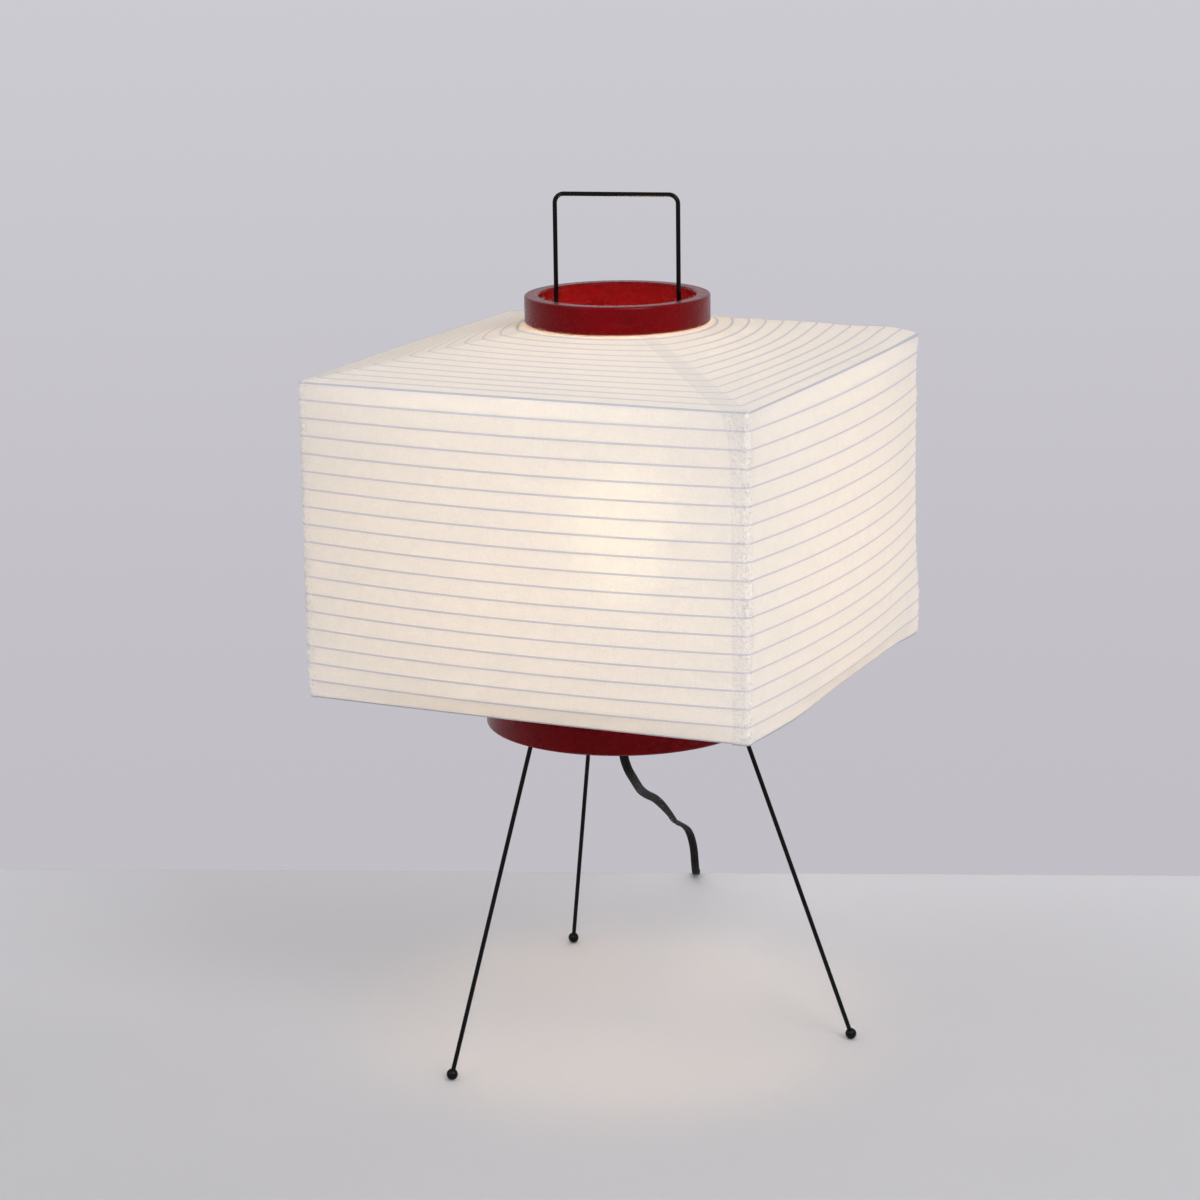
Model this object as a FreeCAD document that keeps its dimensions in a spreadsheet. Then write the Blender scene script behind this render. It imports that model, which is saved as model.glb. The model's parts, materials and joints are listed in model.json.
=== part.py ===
import FreeCAD, Part
import math
import os

import Sketcher
from FreeCAD import Placement, Rotation, Vector

# Rice paper table lamp on three wire legs. Millimetres, +Z up, floor at Z = 0,
# the lamp's axis on Z and the shade's front face towards -Y.

# Driving dimensions: name, value in millimetres, degrees or a count, what it measures
SIZES = (
    ("shade_side", 260, "width of the shade from corner to corner"),
    ("rim_height", 214, "floor to the lower rim"),
    ("hoop_pitch", 9.7, "height from one side hoop to the next"),
    ("side_hoop_count", 17, "hoops between the two rims"),
    ("side_bow", 13, "how far the middle side hoop bows out of a straight side"),
    ("rim_bow", 1.5, "how far the stiff rims bow out"),
    ("paper_thickness", 0.4, "paper with its glue"),
    ("paper_lap", 4, "paper held under the upper ring and on the lower one"),
    ("glue_gap", 0.05, "room between the paper and what it is glued to"),
    ("hoop_wire", 1.0, "diameter of the hoops"),
    ("rim_wire", 1.8, "diameter of the rims"),
    ("hoop_bend", 4, "bend radius at the corners of hoops and rims"),
    ("top_rise", 20.4, "upper rim to the underside of the upper ring"),
    ("top_hoop_count", 12, "hoops in the top slope"),
    ("bottom_drop", 18, "lower rim to the top of the lower ring"),
    ("bottom_hoop_count", 7, "hoops in the bottom slope"),
    ("upper_ring_radius", 51.4, "outside of the upper ring"),
    ("upper_ring_wall", 7.9, "wall of the upper ring"),
    ("upper_ring_height", 15.3, "height of the upper ring"),
    ("lower_ring_radius", 76.9, "outside of the lower ring"),
    ("lower_ring_wall", 14, "wall of the lower ring"),
    ("lower_ring_height", 15, "height of the lower ring"),
    ("ring_round", 1.2, "rounding of the rings' edges"),
    ("leg_wire", 2.5, "diameter of a leg"),
    ("leg_splay", 63.8, "how far a foot stands out from its leg's top"),
    ("leg_angle", 7.9, "angle of the right leg from the X axis"),
    ("leg_seat", 10, "depth of a leg's hole in the lower ring"),
    ("foot_ball", 6.4, "diameter of a foot"),
    ("foot_seat", 4, "depth of a leg's hole in its foot"),
    ("wire_fit", 0.05, "radial room of a wire or screw in its hole"),
    ("handle_wire", 2.5, "diameter of the stretcher wire"),
    ("handle_inset", 9.2, "upper ring's bore in to the handle's centre line"),
    ("handle_rise", 54.7, "top of the upper ring to the handle's centre line"),
    ("handle_bend", 5, "bend radius of the handle's corners"),
    ("handle_angle", 14, "angle of the handle's plane from the X axis"),
    ("lug_thickness", 1.6, "plate of the lugs in the upper ring"),
    ("lug_width", 10, "width of a lug"),
    ("lug_height", 12, "height of a lug's upright"),
    ("lug_margin", 4, "lug plate past the stretcher wire"),
    ("lug_room", 0.3, "room of the stretcher wire in a lug"),
    ("lug_screw", 2.2, "shank diameter of a lug's screw"),
    ("lug_screw_bite", 5, "length of a lug's screw in the wood"),
    ("lug_screw_level", 7, "height of a lug's screw above the ring's underside"),
    ("stop_radius", 3.2, "outside of a stop collar"),
    ("stop_height", 4, "height of a stop collar"),
    ("bar_thickness", 1.6, "plate of the bridge bar"),
    ("bar_width", 16, "width of the bridge bar"),
    ("bar_margin", 2.4, "end of the bridge bar to the paper's edge"),
    ("bar_screw", 3, "shank diameter of a bridge screw"),
    ("bar_screw_bite", 9, "length of a bridge screw in the wood"),
    ("screw_head_height", 1.8, "height of a screw's head"),
    ("screw_head_ratio", 2.1, "head diameter over shank diameter"),
    ("stretcher_nut_size", 5.6, "corner to corner of a stretcher nut"),
    ("stretcher_nut_height", 2, "height of a stretcher nut"),
    ("stretcher_tail", 1.5, "stretcher wire past its lower nut"),
    ("nipple_radius", 5, "outside of the threaded tube"),
    ("nipple_wall", 1.4, "wall of the threaded tube"),
    ("nipple_nut_size", 16, "corner to corner of the nut on the threaded tube"),
    ("nipple_nut_height", 4, "height of that nut"),
    ("nipple_grip_bite", 5, "threaded tube inside the cord grip"),
    ("nipple_cap_bite", 10, "threaded tube inside the lampholder"),
    ("grip_radius", 8, "cord grip at its top"),
    ("grip_tip_radius", 4.4, "cord grip at its tip"),
    ("grip_length", 20, "length of the cord grip"),
    ("holder_radius", 17, "outside of the lampholder"),
    ("holder_wall", 2, "wall of the lampholder"),
    ("holder_floor", 3, "floor of the lampholder's cap"),
    ("holder_cap_height", 24, "height of the lampholder's cap"),
    ("holder_skirt_height", 28, "height of the lampholder's skirt"),
    ("insulator_seat_wall", 6, "wall of the cap under the insulator"),
    ("insulator_height", 9, "height of the insulator"),
    ("holder_fit", 0.2, "room between the lampholder's pieces"),
    ("shell_radius", 13.5, "inside of the lampholder's screw shell"),
    ("shell_wall", 0.5, "wall of the screw shell"),
    ("shell_height", 27, "height of the screw shell"),
    ("centre_contact_radius", 4.5, "foot of the centre contact"),
    ("centre_contact_height", 3.6, "height of the centre contact"),
    ("contact_gap", 0.3, "centre contact to the bulb at rest"),
    ("lead_radius", 0.9, "inner lead"),
    ("lead_spacing", 3.2, "between the two inner leads"),
    ("bulb_tip_radius", 4.8, "contact of the bulb"),
    ("bulb_tip_height", 1.6, "height of that contact"),
    ("bulb_insulator_height", 3, "height of the bulb's insulator"),
    ("bulb_cap_radius", 13, "thread crest of the bulb's cap"),
    ("bulb_cap_groove", 0.8, "depth of that thread"),
    ("bulb_cap_pitch", 3.6, "pitch of that thread"),
    ("bulb_cap_turns", 6, "ridges on the bulb's cap"),
    ("bulb_cap_wall", 1.4, "wall of the bulb's cap from the crest"),
    ("globe_room", 3.05, "bulb at its widest to the stretcher wire"),
    ("globe_wall", 1, "wall of the globe"),
    ("globe_neck", 13, "radius of the globe's neck"),
    ("globe_rise", 51, "neck to the globe's centre"),
    ("led_post_radius", 5, "post of the light source"),
    ("led_post_height", 36, "height of the post above the cap's lower edge"),
    ("led_disc_radius", 9, "disc of the light source"),
    ("led_disc_height", 2, "height of that disc"),
    ("cord_width", 5.2, "width of the flat twin cord"),
    ("switch_length", 62, "length of the in-line switch"),
    ("switch_width", 26, "width of the switch"),
    ("switch_half_height", 9.2, "height of one half of the case"),
    ("switch_wall", 2.4, "wall of the case"),
    ("switch_end_wall", 7, "wall of the case at the cord"),
    ("switch_round", 3, "rounding of the case"),
    ("switch_lift", 0.2, "floor to the underside of the case"),
    ("seam_gap", 0.05, "room between the two halves of the case"),
    ("rocker_length", 21.2, "length of the rocker"),
    ("rocker_width", 10.8, "width of the rocker"),
    ("rocker_crown", 5.4, "pivot to the rocker's ends"),
    ("rocker_dip", 1.4, "dip of the rocker's middle"),
    ("rocker_keel", 2.6, "pivot to the rocker's underside"),
    ("rocker_keel_length", 11.6, "length of the rocker's underside"),
    ("rocker_draft", 0.4, "lean of the rocker's ends"),
    ("rocker_room", 1.1, "room round the rocker in its window"),
    ("rocker_angle", 8, "tilt of the rocker to each side"),
    ("rocker_pivot_depth", 4.2, "case top down to the pivot"),
    ("rocker_pin", 2, "diameter of the pivot pin"),
    ("rocker_pin_seat", 1.2, "pin in each wall of the case"),
    ("terminal_length", 8, "length of a switch terminal"),
    ("terminal_height", 5, "height of a switch terminal"),
    ("terminal_spacing", 30, "between the two switch terminals"),
    ("case_screw", 2.2, "shank diameter of a case screw"),
    ("case_screw_reach", 13, "length of a case screw"),
    ("case_screw_inset", 3.6, "case screw from the case's end"),
    ("case_screw_offset", 8, "case screw from the case's middle"),
    ("coil_radius", 39, "centre line of the outermost loop"),
    ("coil_step", 6, "from one loop to the next"),
    ("coil_layer", 5.75, "from one layer to the next"),
    ("coil_layer_turns", 3.25, "loops in each layer"),
    ("tie_thickness", 0.5, "strap that ties the coil"),
    ("tie_width", 9, "width of that strap"),
    ("tie_room", 0.6, "room between the strap and the loops"),
    ("tie_clear", 0.05, "room under the loops on the strap"),
    ("tie_lift", 0.05, "floor to the strap"),
    ("plug_length", 38, "length of the plug's body"),
    ("plug_width", 34, "width of the plug's body at the pins"),
    ("plug_rear_width", 20, "width of the plug's body at the cord"),
    ("plug_height", 16, "height of the plug's body at the pins"),
    ("plug_rear_height", 14, "height of the plug's body at the cord"),
    ("plug_round", 4, "rounding of the plug's body"),
    ("plug_sleeve", 24, "length of the plug's sleeve"),
    ("plug_sleeve_radius", 5.4, "sleeve at the body"),
    ("plug_sleeve_tip", 3.8, "sleeve at the cord"),
    ("pin_radius", 2, "radius of a plug's pin"),
    ("pin_length", 19, "pin outside the body"),
    ("pin_root", 8, "pin inside the body"),
    ("pin_root_radius", 1.5, "radius of a pin's root"),
    ("pin_shoulder", 0.5, "body's face to the pin's full width"),
    ("pin_spacing", 18.6, "between the two pins"),
)

# Places that follow from the driving dimensions: name, formula
PLACES = (
    ("shade_half", "Sizes.shade_side / 2"),
    ("rim_top", "Sizes.rim_height + Sizes.hoop_pitch * (Sizes.side_hoop_count + 1)"),
    ("lower_top", "Sizes.rim_height - Sizes.bottom_drop"),
    ("lower_base", "lower_top - Sizes.lower_ring_height"),
    ("lower_bore", "Sizes.lower_ring_radius - Sizes.lower_ring_wall"),
    ("upper_base", "rim_top + Sizes.top_rise"),
    ("upper_top", "upper_base + Sizes.upper_ring_height"),
    ("upper_bore", "Sizes.upper_ring_radius - Sizes.upper_ring_wall"),
    ("handle_half", "upper_bore - Sizes.handle_inset"),
    ("handle_level", "upper_top + Sizes.handle_rise"),
    ("top_paper_edge", "Sizes.upper_ring_radius - Sizes.paper_lap"),
    ("bottom_paper_edge", "Sizes.lower_ring_radius - Sizes.paper_lap"),
    ("hoop_radius", "Sizes.hoop_wire / 2"),
    ("leg_circle", "Sizes.lower_ring_radius - Sizes.lower_ring_wall / 2"),
    ("foot_circle", "leg_circle + Sizes.leg_splay"),
    ("leg_radius", "Sizes.leg_wire / 2"),
    ("leg_hole", "leg_radius + Sizes.wire_fit"),
    ("foot_radius", "Sizes.foot_ball / 2"),
    ("handle_radius", "Sizes.handle_wire / 2"),
    ("handle_hole", "handle_radius + Sizes.wire_fit"),
    ("globe_radius", "handle_half - handle_radius - Sizes.globe_room"),
    ("lug_hole", "handle_radius + Sizes.lug_room"),
    ("lug_face", "sqrt(upper_bore ^ 2 - (Sizes.lug_width / 2) ^ 2) - Sizes.glue_gap"),
    ("lug_plate_length", "lug_face - handle_half + Sizes.lug_margin"),
    ("lug_screw_radius", "Sizes.lug_screw / 2"),
    ("lug_screw_hole", "lug_screw_radius + Sizes.wire_fit"),
    ("lug_screw_head", "lug_screw_radius * Sizes.screw_head_ratio"),
    ("lug_screw_length", "upper_bore - lug_face + Sizes.lug_thickness + Sizes.lug_screw_bite"),
    ("bar_top", "lower_top + Sizes.bar_thickness"),
    ("bar_half", "bottom_paper_edge - Sizes.bar_margin"),
    ("bar_screw_radius", "Sizes.bar_screw / 2"),
    ("bar_screw_hole", "bar_screw_radius + Sizes.wire_fit"),
    ("bar_screw_head", "bar_screw_radius * Sizes.screw_head_ratio"),
    ("bar_screw_length", "Sizes.bar_thickness + Sizes.bar_screw_bite"),
    ("bar_screw_circle", "(lower_bore + bar_half) / 2"),
    ("stretcher_nut_radius", "Sizes.stretcher_nut_size / 2"),
    ("stretcher_end", "lower_top - Sizes.stretcher_nut_height - Sizes.stretcher_tail"),
    ("nipple_hole", "Sizes.nipple_radius + Sizes.wire_fit"),
    ("nipple_bore", "Sizes.nipple_radius - Sizes.nipple_wall"),
    ("nipple_nut_radius", "Sizes.nipple_nut_size / 2"),
    ("nipple_nut_base", "lower_top - Sizes.nipple_nut_height"),
    ("grip_top", "nipple_nut_base - Sizes.glue_gap"),
    ("grip_tip", "grip_top - Sizes.grip_length"),
    ("nipple_base", "grip_top - Sizes.nipple_grip_bite"),
    ("nipple_top", "bar_top + Sizes.nipple_cap_bite"),
    ("cap_base", "bar_top + Sizes.glue_gap"),
    ("cap_floor", "cap_base + Sizes.holder_floor"),
    ("cap_bore", "Sizes.holder_radius - Sizes.holder_wall"),
    ("cap_seat_bore", "Sizes.holder_radius - Sizes.insulator_seat_wall"),
    ("cap_top", "cap_base + Sizes.holder_cap_height"),
    ("skirt_base", "cap_top + Sizes.seam_gap"),
    ("skirt_top", "skirt_base + Sizes.holder_skirt_height"),
    ("insulator_radius", "cap_bore - Sizes.holder_fit"),
    ("insulator_base", "nipple_top + Sizes.holder_fit"),
    ("insulator_top", "insulator_base + Sizes.insulator_height"),
    ("cap_seat", "insulator_base - Sizes.glue_gap"),
    ("shell_base", "insulator_top + Sizes.glue_gap"),
    ("shell_outside", "Sizes.shell_radius + Sizes.shell_wall"),
    ("shell_top", "shell_base + Sizes.shell_height"),
    ("centre_contact_top", "shell_base + Sizes.centre_contact_height"),
    ("bulb_base", "centre_contact_top + Sizes.contact_gap"),
    ("bulb_tip_top", "bulb_base + Sizes.bulb_tip_height"),
    ("bulb_cap_inside", "Sizes.bulb_cap_radius - Sizes.bulb_cap_wall"),
    ("bulb_cap_base", "bulb_tip_top + Sizes.bulb_insulator_height"),
    ("bulb_cap_top", "bulb_cap_base + Sizes.bulb_cap_pitch * Sizes.bulb_cap_turns"),
    ("globe_base", "bulb_cap_top + Sizes.glue_gap"),
    ("globe_centre", "globe_base + Sizes.globe_rise"),
    ("led_base", "bulb_cap_base + Sizes.glue_gap"),
    ("led_post_top", "led_base + Sizes.led_post_height"),
    ("led_disc_top", "led_post_top + Sizes.led_disc_height"),
    ("lead_length", "insulator_base - nipple_base - Sizes.glue_gap"),
    ("cord_radius", "Sizes.cord_width / 2"),
    ("switch_seam", "Sizes.switch_lift + Sizes.switch_half_height"),
    ("switch_upper_base", "switch_seam + Sizes.seam_gap"),
    ("switch_top", "switch_upper_base + Sizes.switch_half_height"),
    ("cavity_length", "Sizes.switch_length - 2 * Sizes.switch_end_wall"),
    ("cavity_width", "Sizes.switch_width - 2 * Sizes.switch_wall"),
    ("cavity_height", "Sizes.switch_half_height - Sizes.switch_wall"),
    ("rocker_pivot", "switch_top - Sizes.rocker_pivot_depth"),
    ("rocker_pin_radius", "Sizes.rocker_pin / 2"),
    ("rocker_pin_hole", "rocker_pin_radius + Sizes.wire_fit"),
    ("rocker_pin_length", "cavity_width + 2 * Sizes.rocker_pin_seat"),
    ("window_length", "Sizes.rocker_length + 2 * Sizes.rocker_room"),
    ("window_width", "Sizes.rocker_width + Sizes.rocker_room"),
    ("terminal_base", "Sizes.switch_lift + Sizes.switch_wall + Sizes.seam_gap"),
    ("case_screw_radius", "Sizes.case_screw / 2"),
    ("case_screw_hole", "case_screw_radius + Sizes.wire_fit"),
    ("case_screw_head", "case_screw_radius * Sizes.screw_head_ratio"),
    ("case_screw_recess", "case_screw_head + Sizes.wire_fit"),
    ("coil_level", "cord_radius + Sizes.tie_thickness + Sizes.tie_clear + Sizes.tie_lift"),
    ("coil_top_level", "coil_level + Sizes.coil_layer"),
)

# Where the cord lies, in millimetres from the lamp's axis: along the cord's own direction away
# from the lamp, to the right of it, and up. The points are chosen by hand.
CORD_HEADING = 103.35
LAMP_RUN = (
    (0, 0, 172), (0, 0, 160), (5, 2, 149), (17, 3, 140), (34, 2, 131), (55, 0, 121.5), (80, -1, 111),
    (105, 0, 101), (129, 1, 88), (154, 1, 74.5), (178, -1, 63), (201, -1, 54.5), (219, 1, 45),
    (231, 2, 32), (242, 1, 18.5), (256, 0, 8), (272, -2, 3.4), (287, -8, 3.2), (299, -18, 4.2),
    (305, -31, 7.4), (309, -44, 9.4), (309, -58, 9.4),
)
SWITCH_SPOT = (309, -58)
COIL_SPOT = (309, -158)
PLUG_GAP = 18
# Share of the shorter of two straight runs that the bend between them takes up
BEND_SHARE = 0.45

doc = FreeCAD.newDocument("paper_lamp")


def fill_sheet(name, rows, first_mark):
    """Write rows of alias, content and note into a new sheet."""
    sheet = doc.addObject("Spreadsheet::Sheet", name)
    for line, row in enumerate(rows, 1):
        sheet.set("A%d" % line, row[0].replace("_", " "))
        sheet.set("B%d" % line, first_mark + str(row[1]))
        sheet.setAlias("B%d" % line, row[0])
        if len(row) > 2:
            sheet.set("C%d" % line, row[2])
    return sheet


sizes = fill_sheet("Sizes", SIZES, "")
doc.recompute()
places = fill_sheet("Places", PLACES, "=")
doc.recompute()
SIZE_NAMES = {row[0] for row in SIZES}
nodes = []


def number(alias):
    """Value of a driving dimension or of a place."""
    sheet = sizes if alias in SIZE_NAMES else places
    return float(sheet.get(alias))


def bound(alias):
    """Formula that reads a driving dimension or a place."""
    return ("Sizes." if alias in SIZE_NAMES else "Places.") + alias


def node(thing, label):
    """Name a finished sub-part."""
    thing.Label = label
    nodes.append(thing)
    return thing


def upright(x=0.0, y=0.0, z=0.0, turn=0.0):
    """Placement at a point, turned about the vertical."""
    return Placement(Vector(x, y, z), Rotation(Vector(0, 0, 1), turn))


def around(radius, angle, level):
    """Point at a radius and an angle about the lamp's axis."""
    return Vector(radius * math.cos(math.radians(angle)), radius * math.sin(math.radians(angle)), level)


def cylinder(radius, height, place):
    """Cylinder with its radius and height bound to the sheets."""
    rod = doc.addObject("Part::Cylinder", "rod")
    rod.setExpression("Radius", bound(radius))
    rod.setExpression("Height", bound(height))
    rod.Placement = place
    return rod


def box(length, width, height, place):
    """Box centred on its placement in X and Y, with its sides bound to the sheets."""
    block = doc.addObject("Part::Box", "block")
    block.setExpression("Length", bound(length))
    block.setExpression("Width", bound(width))
    block.setExpression("Height", bound(height))
    middle = Vector(-number(length) / 2, -number(width) / 2, 0)
    block.Placement = place.multiply(Placement(middle, Rotation()))
    return block


def cut(base, *tools):
    """Base with each tool cut from it."""
    for tool in tools:
        step = doc.addObject("Part::Cut", "cut")
        step.Base = base
        step.Tool = tool
        base = step
    return base


def fuse(*shapes):
    """Shapes joined into one."""
    joined = doc.addObject("Part::MultiFuse", "joined")
    joined.Shapes = list(shapes)
    return joined


def group(label, members):
    """Node of several separate solids."""
    compound = doc.addObject("Part::Compound", label)
    compound.Links = list(members)
    return node(compound, label)


def feature(label, shape, place=None):
    """Node whose shape is made directly."""
    thing = doc.addObject("Part::Feature", label)
    thing.Shape = shape
    if place is not None:
        thing.Placement = place
    return node(thing, label)


def turned(label, outline):
    """Body turned about the Z axis from pairs of radius and level; None is a point on the axis."""
    body = doc.addObject("PartDesign::Body", label)
    sketch = body.newObject("Sketcher::SketchObject", label + "_outline")
    plane = [item for item in body.Origin.OriginFeatures if item.Role == "XZ_Plane"][0]
    sketch.AttachmentSupport = [(plane, "")]
    sketch.MapMode = "FlatFace"
    corners = [Vector(number(radius) if radius else 0, number(level), 0) for radius, level in outline]
    count = len(corners)
    for i in range(count):
        sketch.addGeometry(Part.LineSegment(corners[i], corners[(i + 1) % count]), False)
    for i in range(count):
        sketch.addConstraint(Sketcher.Constraint("Coincident", i, 2, (i + 1) % count, 1))
    for i, (radius, level) in enumerate(outline):
        if radius:
            across = sketch.addConstraint(Sketcher.Constraint("DistanceX", -1, 1, i, 1, corners[i].x))
            sketch.setExpression("Constraints[%d]" % across, bound(radius))
        else:
            sketch.addConstraint(Sketcher.Constraint("PointOnObject", i, 1, -2))
        up = sketch.addConstraint(Sketcher.Constraint("DistanceY", -1, 1, i, 1, corners[i].y))
        sketch.setExpression("Constraints[%d]" % up, bound(level))
    turn = body.newObject("PartDesign::Revolution", label + "_turn")
    turn.Profile = sketch
    turn.ReferenceAxis = (sketch, ["V_Axis"])
    turn.Angle = 360
    body.Tip = turn
    doc.recompute()
    return body


def rounded_ring(label, bore, radius, base, top):
    """Turned ring whose four edges are rounded."""
    body = turned(label, ((bore, base), (radius, base), (radius, top), (bore, top)))
    turn = body.Tip
    round_names = ["Edge%d" % (i + 1) for i, edge in enumerate(turn.Shape.Edges) if edge.isClosed()]
    soften = body.newObject("PartDesign::Fillet", label + "_edges")
    soften.Base = (turn, round_names)
    soften.setExpression("Radius", bound("ring_round"))
    body.Tip = soften
    doc.recompute()
    return body


def side_arc(half, bow, level):
    """Front side of a level of the shade, from corner to corner, bowed out by bow."""
    start = Vector(-half, -half, level)
    return Part.Arc(start, Vector(0, -half - bow, level), Vector(half, -half, level)).toShape()


def hoop_loop(half, bow, inset, bend, level):
    """Closed square loop of bowed sides and rounded corners, inset from the sides of a level."""
    reach = (half ** 2 + bow ** 2) / (2 * bow)
    centre = half + bow - reach
    radius = reach - inset
    corner = (centre + math.sqrt(2 * (radius - bend) ** 2 - centre ** 2)) / 2
    out = Vector(corner - centre, corner, 0).normalize() * radius
    end = Vector(centre + out.x, out.y, level)
    middle = Vector(centre + radius, 0, level)
    tip = Vector(corner + bend / math.sqrt(2), corner + bend / math.sqrt(2), level)
    edges = []
    for quarter in range(4):
        turn = Rotation(Vector(0, 0, 1), 90 * quarter)
        side = [Vector(end.x, -end.y, level), middle, end]
        bent = [end, tip, Vector(end.y, end.x, level)]
        for three in (side, bent):
            edges.append(Part.Arc(*[turn.multVec(point) for point in three]).toShape())
    return Part.Wire(edges)


def tube(path, radius):
    """Round wire along a path of lines and arcs."""
    first = path.Edges[0]
    start = first.valueAt(first.FirstParameter)
    along = first.tangentAt(first.FirstParameter)
    section = Part.Wire([Part.Circle(start, along, radius).toShape()])
    solid = path.makePipeShell([section], True, False)
    wanted = math.pi * radius ** 2 * path.Length
    if abs(solid.Volume - wanted) > 0.01 * wanted:
        raise RuntimeError("a tube has the wrong volume: %.1f for %.1f" % (solid.Volume, wanted))
    return solid


def blend(start, end, share):
    """Value at a share of the way from start to end."""
    return start + (end - start) * share


# Wooden rings
HANDLE_ANGLES = (number("handle_angle"), number("handle_angle") + 180)
LEG_ANGLES = [number("leg_angle") + 120 * k for k in range(3)]
LEG_NAMES = ("right", "back", "left")


def leg_line(angle):
    """Seat in the lower ring and centre of the foot of the leg at an angle."""
    foot = around(number("foot_circle"), angle, number("foot_radius"))
    entry = around(number("leg_circle"), angle, number("lower_base"))
    upward = (entry - foot).normalize()
    seat = entry + upward * (number("leg_seat") / upward.z)
    return seat, foot


def leg_rod(angle, radius, room):
    """Rod along a leg from its foot to its seat, longer at both ends by room."""
    seat, foot = leg_line(angle)
    upward = (seat - foot).normalize()
    start = foot - upward * (number("foot_seat") - number("foot_radius") + room)
    rod = doc.addObject("Part::Cylinder", "leg")
    rod.setExpression("Radius", bound(radius))
    rod.Height = (seat + upward * room - start).Length
    rod.Placement = Placement(start, Rotation(Vector(0, 0, 1), upward))
    return rod


def make_rings():
    """Upper ring with its screw holes, lower ring with its leg and screw holes."""
    upper = rounded_ring("upper_ring_turned", "upper_bore", "upper_ring_radius", "upper_base", "upper_top")
    lug_holes = [lug_screw_rod(angle, "lug_screw_hole") for angle in HANDLE_ANGLES]
    node(cut(upper, *lug_holes), "upper_ring")
    lower = rounded_ring("lower_ring_turned", "lower_bore", "lower_ring_radius", "lower_base", "lower_top")
    leg_holes = [leg_rod(angle, "leg_hole", number("wire_fit")) for angle in LEG_ANGLES]
    screw_holes = [bar_screw_rod(angle, "bar_screw_hole") for angle in HANDLE_ANGLES]
    node(cut(lower, *leg_holes, *screw_holes), "lower_ring")


def lug_screw_rod(angle, radius):
    """Rod along a lug's screw, from the lug into the upper ring's wall."""
    level = number("upper_base") + number("lug_screw_level")
    start = around(number("lug_face") - number("lug_thickness"), angle, level)
    outward = around(1, angle, 0)
    rod = cylinder(radius, "lug_screw_length", Placement(start, Rotation(Vector(0, 0, 1), outward)))
    return rod


def bar_screw_rod(angle, radius):
    """Rod along a bridge screw, from the bar down into the lower ring."""
    start = around(number("bar_screw_circle"), angle, number("bar_top") - number("bar_screw_length"))
    return cylinder(radius, "bar_screw_length", Placement(start, Rotation()))


def make_legs():
    """Three wire legs and the balls they stand on."""
    for name, angle in zip(LEG_NAMES, LEG_ANGLES):
        node(leg_rod(angle, "leg_radius", 0.0), "leg_" + name)
    for name, angle in zip(LEG_NAMES, LEG_ANGLES):
        ball = doc.addObject("Part::Sphere", "ball")
        ball.setExpression("Radius", bound("foot_radius"))
        ball.Placement = Placement(leg_line(angle)[1], Rotation())
        node(cut(ball, leg_rod(angle, "leg_hole", number("wire_fit"))), "foot_" + name)


def make_paper():
    """Four side panels and four panels in each slope, met at mitred corners."""
    half = number("shade_half")
    thick = number("paper_thickness")
    low = number("rim_height")
    high = number("rim_top")
    gap = number("glue_gap")
    sections = []
    for level, bow in side_levels():
        outer = side_arc(half, bow, level)
        inner = side_arc(half - thick, bow, level)
        ends = [Part.LineSegment(outer.Vertexes[i].Point, inner.Vertexes[i].Point).toShape() for i in (0, 1)]
        sections.append(Part.Wire(Part.__sortEdges__([outer, ends[1], inner, ends[0]])))
    side = Part.makeLoft(sections, True, True)
    rise = number("upper_base") - gap
    fall = number("lower_top") + gap
    top = slope_panel(high, rise, number("top_paper_edge"), -thick)
    bottom = slope_panel(low, fall, number("bottom_paper_edge"), thick)
    for shape, part in ((side, "side"), (top, "top"), (bottom, "bottom")):
        for quarter, face in enumerate(("front", "right", "back", "left")):
            feature("paper_%s_%s" % (part, face), shape.copy(), upright(turn=90 * quarter))


def side_levels():
    """Height and bow of the side paper at the rims and at each hoop, from half an ellipse."""
    steps = int(number("side_hoop_count")) + 1
    levels = []
    for k in range(steps + 1):
        share = 2.0 * k / steps - 1
        bow = blend(number("rim_bow"), number("side_bow"), math.sqrt(max(0.0, 1 - share ** 2)))
        levels.append((number("rim_height") + number("hoop_pitch") * k, bow))
    cover = number("paper_thickness") + number("glue_gap")
    levels[0] = (levels[0][0] + cover, levels[0][1])
    levels[-1] = (levels[-1][0] - cover, levels[-1][1])
    return levels


def slope_level(rim_level, ring_level, edge, share):
    """Half width, bow and level at a share of the way from a rim to a ring."""
    half = blend(number("shade_half"), edge / math.sqrt(2), share)
    bow = blend(number("rim_bow"), edge * (1 - 1 / math.sqrt(2)), share)
    return half, bow, blend(rim_level, ring_level, share)


def slope_panel(rim_level, ring_level, edge, thick):
    """Front panel of a slope between a rim and a ring, thick measured straight up."""
    skins = []
    for shift in (0, thick):
        arcs = [side_arc(*slope_level(rim_level + shift, ring_level + shift, edge, s)) for s in (0, 1)]
        skins.append(arcs)
    (rim_a, ring_a), (rim_b, ring_b) = skins
    pairs = ((rim_a, ring_a), (rim_b, ring_b), (rim_a, rim_b), (ring_a, ring_b))
    faces = [Part.makeRuledSurface(*pair) for pair in pairs]
    for i in (0, 1):
        corners = [arc.Vertexes[i].Point for arc in (rim_a, ring_a, ring_b, rim_b)]
        faces.append(Part.Face(Part.makePolygon(corners + corners[:1])))
    solid = Part.Solid(Part.Shell(faces))
    if solid.Volume < 0:
        solid.reverse()
    return solid


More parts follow.
